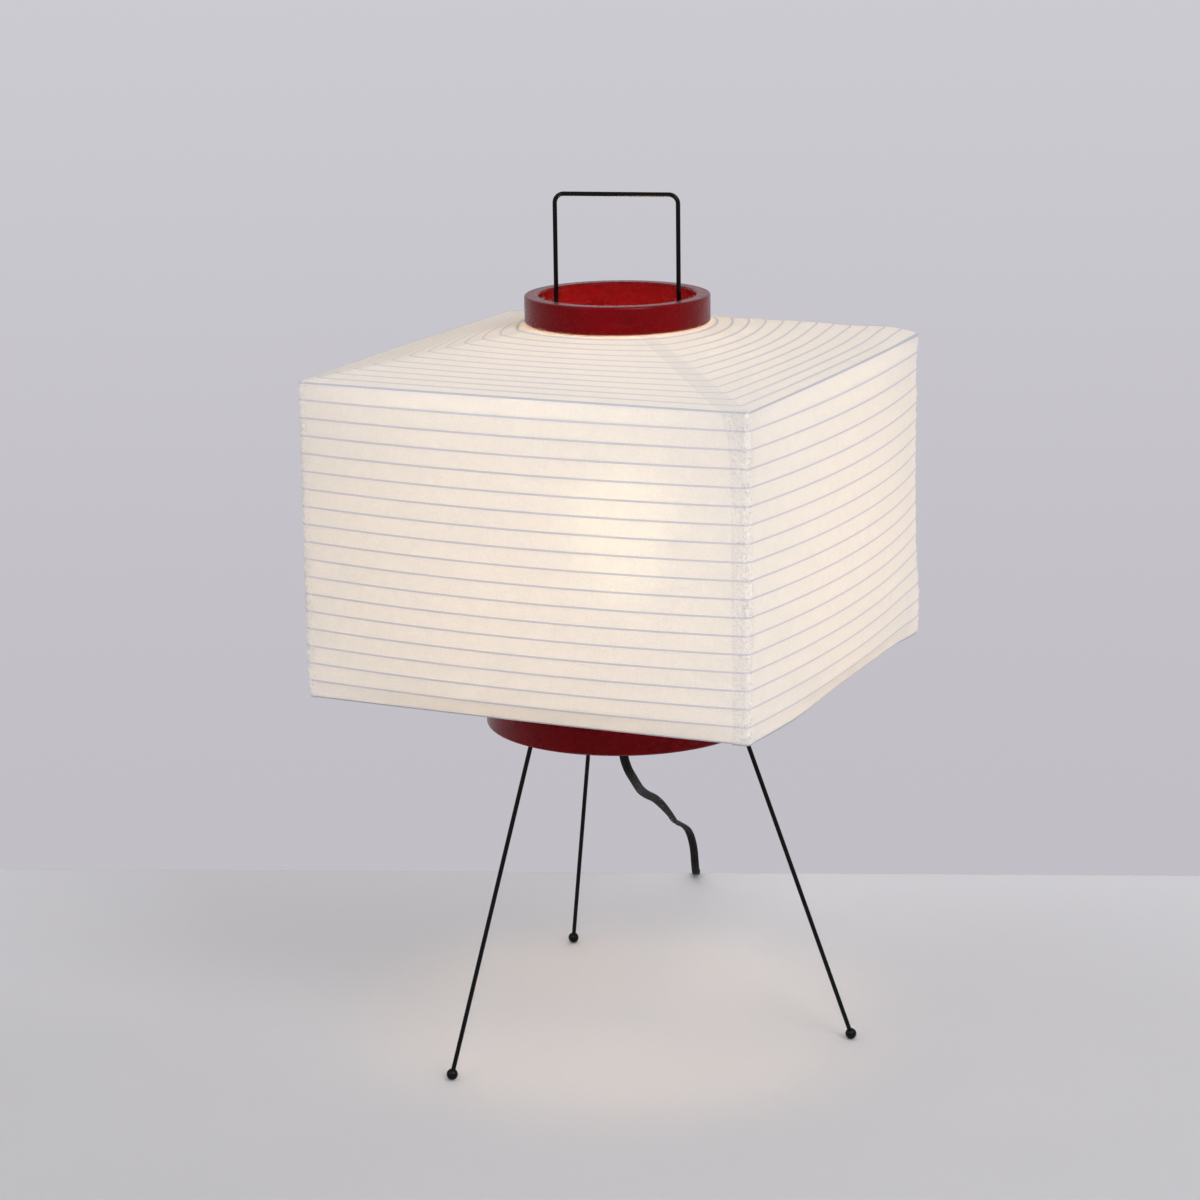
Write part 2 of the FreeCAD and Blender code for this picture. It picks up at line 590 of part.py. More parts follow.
def make_hoops():
    """Rims, side hoops, slope hoops and the wires that end the paper at both rings."""
    half = number("shade_half") - number("paper_thickness")
    thick = number("paper_thickness")
    gap = number("glue_gap")
    wire = number("hoop_radius")
    rim = number("rim_wire") / 2
    bend = number("hoop_bend")
    low = number("rim_height")
    high = number("rim_top")
    rim_shift = thick + rim + 2 * gap
    for label, level in (("top_rim_wire", high - rim_shift), ("bottom_rim_wire", low + rim_shift)):
        feature(label, tube(hoop_loop(half, number("rim_bow"), rim + gap, bend, level), rim))
    hoops = []
    levels = side_levels()
    for below, here, above in zip(levels, levels[1:], levels[2:]):
        leans = [abs(b[1] - a[1]) / (b[0] - a[0]) for a, b in ((below, here), (here, above))]
        inset = (wire + gap) * math.sqrt(1 + max(leans) ** 2)
        hoops.append(tube(hoop_loop(half, here[1], inset, bend, here[0]), wire))
    feature("side_hoops", Part.makeCompound(hoops))
    slopes = (
        ("top", high, number("upper_base") - gap, number("top_paper_edge"), -1),
        ("bottom", low, number("lower_top") + gap, number("bottom_paper_edge"), 1),
    )
    for name, rim_level, ring_level, edge, inward in slopes:
        run = number("shade_half") + number("rim_bow") - edge
        steep = abs(ring_level - rim_level) / run
        shift = inward * (thick + (wire + gap) * math.sqrt(1 + steep ** 2))
        count = int(number(name + "_hoop_count"))
        loops = []
        for k in range(1, count + 1):
            half_k, bow_k, level = slope_level(rim_level, ring_level, edge, k / (count + 1.0))
            loops.append(tube(hoop_loop(half_k, bow_k, 0.0, bend, level + shift), wire))
        feature(name + "_hoops", Part.makeCompound(loops))
        level = ring_level + shift + inward * steep * 2 * wire
        feature(name + "_collar_wire", Part.makeTorus(edge + 2 * wire, wire, Vector(0, 0, level)))


def make_stretcher():
    """Bent stretcher wire with the handle at its top, its stops, lugs, nuts and screws."""
    side = number("handle_half")
    bend = number("handle_bend")
    level = number("handle_level")
    end = number("stretcher_end")
    quarter = bend * (1 - 1 / math.sqrt(2))
    path = Part.Wire([
        Part.LineSegment(Vector(-side, 0, end), Vector(-side, 0, level - bend)).toShape(),
        Part.Arc(Vector(-side, 0, level - bend), Vector(-side + quarter, 0, level - quarter),
                 Vector(-side + bend, 0, level)).toShape(),
        Part.LineSegment(Vector(-side + bend, 0, level), Vector(side - bend, 0, level)).toShape(),
        Part.Arc(Vector(side - bend, 0, level), Vector(side - quarter, 0, level - quarter),
                 Vector(side, 0, level - bend)).toShape(),
        Part.LineSegment(Vector(side, 0, level - bend), Vector(side, 0, end)).toShape(),
    ])
    feature("stretcher_wire", tube(path, number("handle_radius")), upright(turn=number("handle_angle")))
    stops = []
    lugs = []
    screws = []
    nuts = []
    gap = number("glue_gap")
    for angle in HANDLE_ANGLES:
        spot = around(side, angle, number("upper_base") - number("stop_height") - gap)
        stop = cylinder("stop_radius", "stop_height", Placement(spot, Rotation()))
        stops.append(cut(stop, cylinder("handle_hole", "stop_height", Placement(spot, Rotation()))))
        lugs.append(make_lug(angle))
        head = number("lug_face") - number("lug_thickness") - number("screw_head_height")
        inner = around(head, angle, number("upper_base") + number("lug_screw_level"))
        outward = Placement(inner, Rotation(Vector(0, 0, 1), around(1, angle, 0)))
        button = cylinder("lug_screw_head", "screw_head_height", outward)
        screws.append(fuse(lug_screw_rod(angle, "lug_screw_radius"), button))
        below = number("lower_top") - number("stretcher_nut_height")
        for base in (below - gap, number("bar_top") + gap):
            place = Placement(around(side, angle, base), Rotation())
            nuts.append(make_nut("stretcher_nut_radius", "stretcher_nut_height", "handle_hole", place))
    group("stop_collars", stops)
    group("ring_lugs", lugs)
    group("lug_screws", screws)
    group("stretcher_nuts", nuts)


def make_lug(angle):
    """Angle lug on the upper ring's inner wall, with a hole for the stretcher and one for its screw."""
    base = number("upper_base")
    middle = number("lug_face") - number("lug_plate_length") / 2
    spot = around(middle, angle, base)
    plate = box("lug_plate_length", "lug_width", "lug_thickness", upright(spot.x, spot.y, base, angle))
    spot = around(number("lug_face") - number("lug_thickness") / 2, angle, base)
    wall = box("lug_thickness", "lug_width", "lug_height", upright(spot.x, spot.y, base, angle))
    spot = around(number("handle_half"), angle, base)
    wire_hole = cylinder("lug_hole", "lug_thickness", Placement(spot, Rotation()))
    return cut(fuse(plate, wall), wire_hole, lug_screw_rod(angle, "lug_screw_hole"))


def make_nut(radius, height, hole, place):
    """Hexagonal nut on a wire or tube."""
    prism = doc.addObject("Part::Prism", "prism")
    prism.Polygon = 6
    prism.setExpression("Circumradius", bound(radius))
    prism.setExpression("Height", bound(height))
    prism.Placement = place
    return cut(prism, cylinder(hole, height, place))


def make_bridge():
    """Steel bar across the lower ring with its screws, the threaded tube and its nut."""
    turn = number("handle_angle")
    low = number("lower_top")
    bar = doc.addObject("Part::Box", "bar")
    bar.setExpression("Length", "2 * Places.bar_half")
    bar.setExpression("Width", bound("bar_width"))
    bar.setExpression("Height", bound("bar_thickness"))
    corner = Vector(-number("bar_half"), -number("bar_width") / 2, 0)
    bar.Placement = upright(z=low, turn=turn).multiply(Placement(corner, Rotation()))
    holes = [cylinder("nipple_hole", "bar_thickness", upright(z=low))]
    screws = []
    for angle in HANDLE_ANGLES:
        spot = around(number("handle_half"), angle, low)
        holes.append(cylinder("handle_hole", "bar_thickness", Placement(spot, Rotation())))
        holes.append(bar_screw_rod(angle, "bar_screw_hole"))
        spot = around(number("bar_screw_circle"), angle, number("bar_top"))
        head = cylinder("bar_screw_head", "screw_head_height", Placement(spot, Rotation()))
        screws.append(fuse(bar_screw_rod(angle, "bar_screw_radius"), head))
    node(cut(bar, *holes), "bridge_bar")
    group("bridge_screws", screws)
    node(turned("nipple_tube", (
        ("nipple_bore", "nipple_base"), ("nipple_radius", "nipple_base"),
        ("nipple_radius", "nipple_top"), ("nipple_bore", "nipple_top"),
    )), "nipple")
    place = upright(z=number("nipple_nut_base"))
    node(make_nut("nipple_nut_radius", "nipple_nut_height", "nipple_hole", place), "nipple_nut")
    node(turned("cord_grip_body", (
        ("nipple_hole", "grip_top"), ("grip_radius", "grip_top"), ("grip_tip_radius", "grip_tip"),
        (None, "grip_tip"), (None, "nipple_base"), ("nipple_hole", "nipple_base"),
    )), "cord_grip")


def make_holder():
    """Screw lampholder on the threaded tube, with its contacts and inner leads."""
    node(turned("holder_cap_body", (
        ("nipple_hole", "cap_base"), ("holder_radius", "cap_base"), ("holder_radius", "cap_top"),
        ("cap_bore", "cap_top"), ("cap_bore", "cap_seat"), ("cap_seat_bore", "cap_seat"),
        ("cap_seat_bore", "cap_floor"), ("nipple_hole", "cap_floor"),
    )), "holder_cap")
    node(turned("holder_skirt_body", (
        ("cap_bore", "skirt_base"), ("holder_radius", "skirt_base"),
        ("holder_radius", "skirt_top"), ("cap_bore", "skirt_top"),
    )), "holder_skirt")
    node(turned("holder_insulator_body", (
        (None, "insulator_base"), ("insulator_radius", "insulator_base"),
        ("insulator_radius", "insulator_top"), (None, "insulator_top"),
    )), "holder_insulator")
    node(turned("screw_shell_body", (
        ("shell_radius", "shell_base"), ("shell_outside", "shell_base"),
        ("shell_outside", "shell_top"), ("shell_radius", "shell_top"),
    )), "screw_shell")
    node(turned("centre_contact_body", (
        (None, "shell_base"), ("centre_contact_radius", "shell_base"),
        ("nipple_wall", "centre_contact_top"), (None, "centre_contact_top"),
    )), "centre_contact")
    leads = []
    for side in (-1, 1):
        place = upright(side * number("lead_spacing") / 2, 0, number("nipple_base") + number("glue_gap"))
        leads.append(cylinder("lead_radius", "lead_length", place))
    group("inner_leads", leads)


def make_bulb():
    """Bulb: contact, threaded cap, hollow globe and the light source inside it."""
    node(turned("bulb_contact_body", (
        (None, "bulb_base"), ("bulb_tip_radius", "bulb_base"), ("bulb_tip_radius", "bulb_tip_top"),
        ("bulb_cap_inside", "bulb_cap_base"), (None, "bulb_cap_base"),
    )), "bulb_contact")
    crest = number("bulb_cap_radius")
    base = number("bulb_cap_base")
    pitch = number("bulb_cap_pitch")
    inside = number("bulb_cap_inside")
    outline = [Vector(inside, 0, base)]
    for k in range(int(number("bulb_cap_turns"))):
        for share, depth in ((0.0, 1), (0.25, 0), (0.5, 0), (0.75, 1)):
            radius = crest - depth * number("bulb_cap_groove")
            outline.append(Vector(radius, 0, base + pitch * (k + share)))
    outline.append(Vector(crest - number("bulb_cap_groove"), 0, number("bulb_cap_top")))
    outline.append(Vector(inside, 0, number("bulb_cap_top")))
    feature("bulb_cap", spin(Part.makePolygon(outline + outline[:1])))
    centre = number("globe_centre")
    foot = number("globe_base")
    wall = number("globe_wall")
    outer = globe_outline(number("globe_radius"), number("globe_neck"), foot, centre)
    inner = globe_outline(number("globe_radius") - wall, number("globe_neck") - wall, foot, centre)
    feature("bulb_globe", spin(outer).cut(spin(inner)))
    node(turned("bulb_led_body", (
        (None, "led_base"), ("led_post_radius", "led_base"), ("led_post_radius", "led_post_top"),
        ("led_disc_radius", "led_post_top"), ("led_disc_radius", "led_disc_top"), (None, "led_disc_top"),
    )), "bulb_led_board")


def spin(wire):
    """Solid turned about the Z axis from a closed wire in the XZ plane."""
    return Part.Face(wire).revolve(Vector(0, 0, 0), Vector(0, 0, 1), 360)


def globe_outline(radius, neck, foot, centre):
    """Half outline of a globe: a neck that flares straight into a round end."""
    drop = centre - foot
    distance = math.hypot(neck, drop)
    dip = math.asin(radius / distance) - math.atan2(neck, drop)
    touch = Vector(radius * math.cos(dip), 0, centre - radius * math.sin(dip))
    rise = (math.pi / 2 - dip) / 2
    rest = Vector(radius * math.cos(rise), 0, centre + radius * math.sin(rise))
    top = Vector(0, 0, centre + radius)
    start = Vector(0, 0, foot)
    edge = Vector(neck, 0, foot)
    return Part.Wire([
        Part.LineSegment(start, edge).toShape(),
        Part.LineSegment(edge, touch).toShape(),
        Part.Arc(touch, rest, top).toShape(),
        Part.LineSegment(top, start).toShape(),
    ])


# The cord and what is on it
FORWARD = Vector(math.cos(math.radians(CORD_HEADING)), math.sin(math.radians(CORD_HEADING)), 0)
RIGHTWARD = Vector(FORWARD.y, -FORWARD.x, 0)


def cord_point(along, right, level):
    """Point of the room from a point of the cord's plan."""
    return FORWARD * along + RIGHTWARD * right + Vector(0, 0, level)


def cord_path(name, points):
    """Straight runs joined by tangent arcs as large as the runs allow."""
    corners = [cord_point(*point) for point in points]
    edges = []
    radii = []
    last = corners[0]
    for before, here, after in zip(corners, corners[1:], corners[2:]):
        coming = here - before
        going = after - here
        room = BEND_SHARE * min(coming.Length, going.Length)
        turn = coming.getAngle(going)
        if turn < 1e-6:
            continue
        radii.append(room / math.tan(turn / 2))
        coming.normalize()
        going.normalize()
        start = here - coming * room
        end = here + going * room
        inward = (going - coming).normalize()
        middle = here + inward * (radii[-1] / math.cos(turn / 2) - radii[-1])
        edges.append(Part.LineSegment(last, start).toShape())
        edges.append(Part.Arc(start, middle, end).toShape())
        last = end
    edges.append(Part.LineSegment(last, corners[-1]).toShape())
    path = Part.Wire(edges)
    print(name, "length %.0f, radii" % path.Length, " ".join("%.0f" % radius for radius in radii))
    return path


def biarc(start, along, end, onward):
    """Two tangent arcs from a point and direction to another point and direction."""
    across = end - start
    both = along + onward
    sharp = 2 * (1 - along.dot(onward))
    reach = (math.sqrt(across.dot(both) ** 2 + sharp * across.dot(across)) - across.dot(both)) / sharp
    joint = (start + end + (along - onward) * reach) * 0.5
    edges = []
    for first, heading, last in ((start, along, joint), (joint, None, end)):
        if heading is None:
            span = joint - start
            heading = span * (2 * span.dot(along) / span.dot(span)) - along
        span = last - first
        side = span - heading * span.dot(heading)
        radius = span.dot(span) / (2 * side.Length)
        centre = first + side.normalize() * radius
        middle = centre + ((first + last) * 0.5 - centre).normalize() * radius
        edges.append(Part.Arc(first, middle, last).toShape())
    return edges


def coil_place(angle):
    """Point of the coil's centre line after an angle in turns, and its direction."""
    turns = number("coil_layer_turns")
    middle = Vector(COIL_SPOT[0] + number("coil_radius"), COIL_SPOT[1], 0)

    def spot(at):
        radius = number("coil_radius") - number("coil_step") * (turns - abs(at - turns))
        climb = min(1.0, max(0.0, 2 * (at - turns) + 0.5))
        level = blend(number("coil_level"), number("coil_top_level"), climb * climb * (3 - 2 * climb))
        round_angle = -math.pi / 2 - 2 * math.pi * at
        return cord_point(middle.x + radius * math.sin(round_angle),
                          middle.y + radius * math.cos(round_angle), level)

    step = 1e-4
    return spot(angle), (spot(angle + step) - spot(angle - step)).normalize()


def make_coil():
    """Cord wound in two layers: in along the floor, up at the middle, out on top."""
    radius = number("cord_radius")
    total = 2 * number("coil_layer_turns")
    stations = [coil_place(k / 4.0) for k in range(int(round(4 * total)) + 1)]
    # At the two ends and where the spiral turns round, the loop is square to its radius.
    for k in (0, len(stations) // 2, len(stations) - 1):
        place, heading = stations[k]
        centre = cord_point(COIL_SPOT[0] + number("coil_radius"), COIL_SPOT[1], place.z)
        out = (place - centre).normalize()
        stations[k] = (place, (heading - out * heading.dot(out)).normalize())
    edges = []
    for (start, along), (end, onward) in zip(stations, stations[1:]):
        edges.extend(biarc(start, along, end, onward))
    first, along = stations[0]
    last, onward = stations[-1]
    width = number("cord_width")
    head = Part.LineSegment(first - along * width, first).toShape()
    tail = Part.LineSegment(last, last + onward * width).toShape()
    path = Part.Wire([head] + edges + [tail])
    feature("cord_coil", tube(path, radius))
    points = []
    per_turn = 72
    for k in range(int(total * per_turn) + 1):
        points.append(coil_place(k / float(per_turn))[0])
    near = min((a - b).Length for i, a in enumerate(points) for b in points[i + per_turn // 3:])
    print("coil length %.0f, least gap to itself %.2f" % (path.Length, near - 2 * radius))
    return first - along * width, last + onward * width, onward


def make_cord():
    """Free stretches of the cord, the coil with its tie, the switch and the plug."""
    radius = number("cord_radius")
    points = ((0, 0, number("grip_tip")),) + LAMP_RUN[1:-2] + tuple(
        (along, right, number("switch_seam")) for along, right, level in LAMP_RUN[-2:])
    feature("cord_lamp_run", tube(cord_path("lamp run", points), radius))
    head, tail, onward = make_coil()
    feature("cord_switch_run", tube(cord_path("switch run", switch_run_points(head)), radius))
    make_tie()
    make_plug(tail, onward)
    make_switch()


def switch_run_points(head):
    """Points of the run from the switch to the coil, ending square on the coil's end."""
    start = SWITCH_SPOT[1] - number("switch_length")
    high = number("switch_seam")
    low = number("coil_level")
    along = SWITCH_SPOT[0]
    end = head.dot(RIGHTWARD)
    third = (end - start) / 3
    return [(along, start, high), (along, start + third, high), (along, end - third, low), (along, end, low)]


def make_tie():
    """Strap round both layers of the coil, on the side towards the switch."""
    thick = number("tie_thickness")
    room = number("tie_room") + number("cord_radius")
    step = number("coil_step")
    near = number("coil_radius") - step * number("coil_layer_turns") - room
    far = number("coil_radius") + room - step / 4
    low = number("coil_level") - number("cord_radius") - number("tie_clear")
    high = number("coil_top_level") + room
    along = COIL_SPOT[0] + number("coil_radius")
    width = number("tie_width")
    corner = Vector(near, -width / 2, 0)
    hole = Part.makeBox(far - near, width, high - low, corner)
    corner = Vector(near - thick, -width / 2, -thick)
    band = Part.makeBox(far - near + 2 * thick, width, high - low + 2 * thick, corner)
    strap = band.cut(hole)
    frame = Placement(cord_point(along, COIL_SPOT[1], low), Rotation(RIGHTWARD, FORWARD, Vector(0, 0, 1)))
    feature("coil_tie", strap, frame)


def make_plug(tail, onward):
    """Two-pin plug lying flat at the end of the cord, and the run into it."""
    sleeve_tip = tail + onward * PLUG_GAP
    run = Part.Wire([Part.LineSegment(tail, sleeve_tip).toShape()])
    feature("cord_plug_run", tube(run, number("cord_radius")))
    sleeve = number("plug_sleeve")
    length = number("plug_length")
    frame = Placement(sleeve_tip, Rotation(onward, Vector(0, 0, 1).cross(onward), Vector(0, 0, 1)))
    cone = Part.makeCone(number("plug_sleeve_tip"), number("plug_sleeve_radius"), sleeve,
                         Vector(0, 0, 0), Vector(1, 0, 0))
    rear = rounded_outline(number("plug_rear_width"), number("plug_rear_height"), sleeve)
    front = rounded_outline(number("plug_width"), number("plug_height"), sleeve + length)
    body = Part.makeLoft([rear, front], True, True).fuse(cone)
    pins = []
    outward = Vector(1, 0, 0)
    face = sleeve + length
    shoulder = number("pin_shoulder")
    for side in (-1, 1):
        middle = side * number("pin_spacing") / 2
        root = Vector(face - number("pin_root"), middle, 0)
        hole = Part.makeCylinder(number("pin_root_radius") + number("wire_fit"), number("pin_root"), root, outward)
        body = body.cut(hole)
        held = Part.makeCylinder(number("pin_root_radius"), number("pin_root") + shoulder, root, outward)
        start = Vector(face + shoulder, middle, 0)
        shaft = Part.makeCylinder(number("pin_radius"), number("pin_length") - shoulder, start, outward)
        pins.append(shaft.fuse(held))
    feature("plug_body", body.removeSplitter(), frame)
    feature("plug_pins", Part.makeCompound(pins), frame)


def rounded_outline(width, height, along):
    """Rounded rectangle across the X axis."""
    wide = width / 2
    tall = height / 2
    bend = number("plug_round")
    inner = bend * (1 - 1 / math.sqrt(2))
    edges = []
    for side, up in ((1, 1), (-1, 1), (-1, -1), (1, -1)):
        on_side = Vector(along, side * wide, up * (tall - bend))
        on_end = Vector(along, side * (wide - bend), up * tall)
        middle = Vector(along, side * (wide - inner), up * (tall - inner))
        three = (on_side, middle, on_end) if side == up else (on_end, middle, on_side)
        if edges:
            edges.append(Part.LineSegment(edges[-1].Vertexes[-1].Point, three[0]).toShape())
        edges.append(Part.Arc(*three).toShape())
    edges.append(Part.LineSegment(edges[-1].Vertexes[-1].Point, edges[0].Vertexes[0].Point).toShape())
    return Part.Wire(edges)


def make_switch():
    """In-line hand switch: two case halves, rocker on its pin, terminals and screws."""
    middle = cord_point(SWITCH_SPOT[0], SWITCH_SPOT[1] - number("switch_length") / 2, 0)
    turn = CORD_HEADING + 90

    def placed(x, y, z):
        spot = middle + around(x, turn, 0) + around(y, turn + 90, 0)
        return upright(spot.x, spot.y, z, turn)

    lower = rounded_case(placed(0, 0, number("switch_lift")))
    upper = rounded_case(placed(0, 0, number("switch_upper_base")))
    floor = number("switch_lift") + number("switch_wall")
    lower_cavity = box("cavity_length", "cavity_width", "switch_half_height", placed(0, 0, floor))
    upper_cavity = box("cavity_length", "cavity_width", "cavity_height", placed(0, 0, number("switch_upper_base")))
    window = box("window_length", "window_width", "switch_half_height", placed(0, 0, number("switch_upper_base")))
    pin_turn = Rotation(Vector(0, 0, 1), turn).multiply(Rotation(Vector(1, 0, 0), -90))
    pin_start = placed(0, -number("rocker_pin_length") / 2, number("rocker_pivot")).Base
    pin_place = Placement(pin_start, pin_turn)
    pin_hole = cylinder("rocker_pin_hole", "rocker_pin_length", pin_place)
    screws = []
    lower_holes = []
    upper_holes = []
    for side in (-1, 1):
        x = side * (number("switch_length") / 2 - number("case_screw_inset"))
        y = side * number("case_screw_offset")
        place = placed(x, y, number("switch_lift") + number("seam_gap"))
        shank = cylinder("case_screw_radius", "case_screw_reach", place)
        head = cylinder("case_screw_head", "screw_head_height", place)
        screws.append(fuse(shank, head))
        base = placed(x, y, number("switch_lift"))
        lower_holes.append(cylinder("case_screw_hole", "case_screw_reach", base))
        recess = cylinder("case_screw_recess", "screw_head_height", base)
        recess.setExpression("Height", "Sizes.screw_head_height + 2 * Sizes.seam_gap")
        lower_holes.append(recess)
        tall = cylinder("case_screw_hole", "case_screw_reach", place)
        tall.setExpression("Height", "Sizes.case_screw_reach + Sizes.seam_gap")
        upper_holes.append(tall)
    node(cut(lower, lower_cavity, *lower_holes), "switch_lower_case")
    node(cut(upper, upper_cavity, window, pin_hole, *upper_holes), "switch_upper_case")
    make_rocker(turn, placed(0, 0, number("rocker_pivot")).Base)
    node(cylinder("rocker_pin_radius", "rocker_pin_length", pin_place), "rocker_pin")
    group("switch_screws", screws)
    terminals = []
    for side in (-1, 1):
        place = placed(side * number("terminal_spacing") / 2, 0, number("terminal_base"))
        terminals.append(box("terminal_length", "terminal_height", "terminal_height", place))
    group("switch_terminals", terminals)


def rounded_case(place):
    """One half of the switch's case, rounded at its upright edges."""
    block = box("switch_length", "switch_width", "switch_half_height", place)
    doc.recompute()
    soft = doc.addObject("Part::Fillet", "rounded")
    soft.Base = block
    radius = number("switch_round")
    edges = block.Shape.Edges
    soft.Edges = [(i + 1, radius, radius) for i, edge in enumerate(edges) if abs(edge.tangentAt(0).z) > 0.9]
    return soft


def make_rocker(turn, pivot):
    """Rocker with a dipped top, pressed down at the end towards the lamp."""
    half = number("rocker_length") / 2
    crown = number("rocker_crown")
    keel = number("rocker_keel")
    bottom = number("rocker_keel_length") / 2
    draft = number("rocker_draft")
    width = number("rocker_width")
    outline = [
        (-bottom, -keel), (bottom, -keel), (half, 0), (half - draft, crown),
        (0, crown - number("rocker_dip")), (-half + draft, crown), (-half, 0),
    ]
    corners = [Vector(x, -width / 2, z) for x, z in outline]
    block = Part.Face(Part.makePolygon(corners + corners[:1])).extrude(Vector(0, width, 0))
    hole = Part.makeCylinder(number("rocker_pin_hole"), width, Vector(0, -width / 2, 0), Vector(0, 1, 0))
    rocker = block.cut(hole)
    tilt = Rotation(Vector(0, 1, 0), -number("rocker_angle"))
    place = Placement(pivot, Rotation(Vector(0, 0, 1), turn).multiply(tilt))
    feature("switch_rocker", rocker, place)


make_rings()
make_legs()
make_paper()
make_hoops()
make_stretcher()
make_bridge()
make_holder()
make_bulb()
make_cord()
doc.recompute()

for thing in doc.Objects:
    if {"Invalid", "Error"} & set(thing.State):
        raise RuntimeError("%s failed: %s" % (thing.Label, thing.State))
for thing in nodes:
    shape = thing.Shape
    if shape.isNull() or not shape.isValid() or not shape.Solids:
        raise RuntimeError("%s has no valid solid" % thing.Label)
os.makedirs("parts", exist_ok=True)
for thing in nodes:
    thing.Shape.exportStep("parts/%s.step" % thing.Label)
print(len(nodes), "nodes written")
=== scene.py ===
"""Rice paper table lamp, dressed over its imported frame.

Metres, +Z up, floor at Z = 0, the lamp's axis on Z and the shade's front face towards -Y.
"""

import json
import logging
import math
from dataclasses import dataclass
from enum import Enum

import bmesh
import bpy
from mathutils import Matrix, Vector, noise


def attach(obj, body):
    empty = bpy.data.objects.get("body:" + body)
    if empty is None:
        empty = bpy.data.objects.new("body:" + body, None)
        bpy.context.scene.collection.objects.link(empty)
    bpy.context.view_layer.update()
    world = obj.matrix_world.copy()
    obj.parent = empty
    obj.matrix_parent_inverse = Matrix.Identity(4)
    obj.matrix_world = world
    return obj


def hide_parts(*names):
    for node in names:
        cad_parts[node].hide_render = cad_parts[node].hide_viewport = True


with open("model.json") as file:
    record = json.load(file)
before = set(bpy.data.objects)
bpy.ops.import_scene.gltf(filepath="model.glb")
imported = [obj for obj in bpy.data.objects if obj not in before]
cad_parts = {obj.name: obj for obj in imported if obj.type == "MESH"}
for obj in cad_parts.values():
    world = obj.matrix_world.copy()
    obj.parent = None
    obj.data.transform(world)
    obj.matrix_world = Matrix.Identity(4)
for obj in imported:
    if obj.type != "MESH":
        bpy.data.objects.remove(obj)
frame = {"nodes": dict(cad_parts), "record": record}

MM = 0.001
log = logging.getLogger("paper_lamp")

Colour = tuple[float, float, float]
Point = tuple[float, float, float]
Stretch = tuple[float, float, float]
Span = tuple[float, float]
Places = dict[tuple[int, int], bmesh.types.BMVert]
Owner = bpy.types.Material | bpy.types.World
Socket = bpy.types.NodeSocket
Feed = Socket | float | Colour
Inputs = dict[str | int, Feed]

# Numbers of one noise, span, bump, fibre or twist, in the order in which they are used
Recipe = tuple[float, ...]

# Noise levels between which a patch fades in, and those that hold most of a noise
PATCH: Recipe = (0.35, 0.7)
SWING: Recipe = (0.3, 0.7)

LIGHT: Colour = (1.0, 0.99, 1.0)
WHITE: Colour = (1.0, 1.0, 1.0)


def smooth_step(low: float, high: float, value: float) -> float:
    """Ease from 0 at low to 1 at high."""
    share = min(1.0, max(0.0, (value - low) / (high - low)))
    return share * share * (3 - 2 * share)


def between(start: float, end: float, share: float) -> float:
    """Value at a share of the way from start to end."""
    return start + (end - start) * share


def corner_curve(before: Vector, tip: Vector, after: Vector, share: float) -> Vector:
    """Point of the curve that rounds a corner's tip off, from before it to after it."""
    return before * (1 - share) ** 2 + tip * 2 * share * (1 - share) + after * share ** 2


def add_piece(name: str, mesh: bmesh.types.BMesh, material: bpy.types.Material) -> bpy.types.Object:
    """Turn a finished bmesh into a smooth shaded object at the origin.

    Args:
        name: name of the object and its mesh.
        mesh: the shape, which is freed.
        material: finish of all its faces.

    Returns:
        The new object, linked to the scene.
    """
    data = bpy.data.meshes.new(name)
    mesh.to_mesh(data)
    mesh.free()
    data.materials.append(material)
    data.polygons.foreach_set("use_smooth", [True] * len(data.polygons))
    made = bpy.data.objects.new(name, data)
    bpy.context.scene.collection.objects.link(made)
    return made


def grid_places(mesh: bmesh.types.BMesh, columns: int, rows: int) -> Places:
    """Start a bmesh as a flat grid and index its vertices.

    Args:
        mesh: the empty bmesh.
        columns: faces across.
        rows: faces from top to bottom.

    Returns:
        Each vertex by (column, row), from 0.
    """
    bmesh.ops.create_grid(mesh, x_segments=columns, y_segments=rows, size=1.0)
    places = {}
    for vert in mesh.verts:
        column = round((vert.co.x + 1) / 2 * columns)
        row = round((1 - vert.co.y) / 2 * rows)
        places[column, row] = vert
    return places


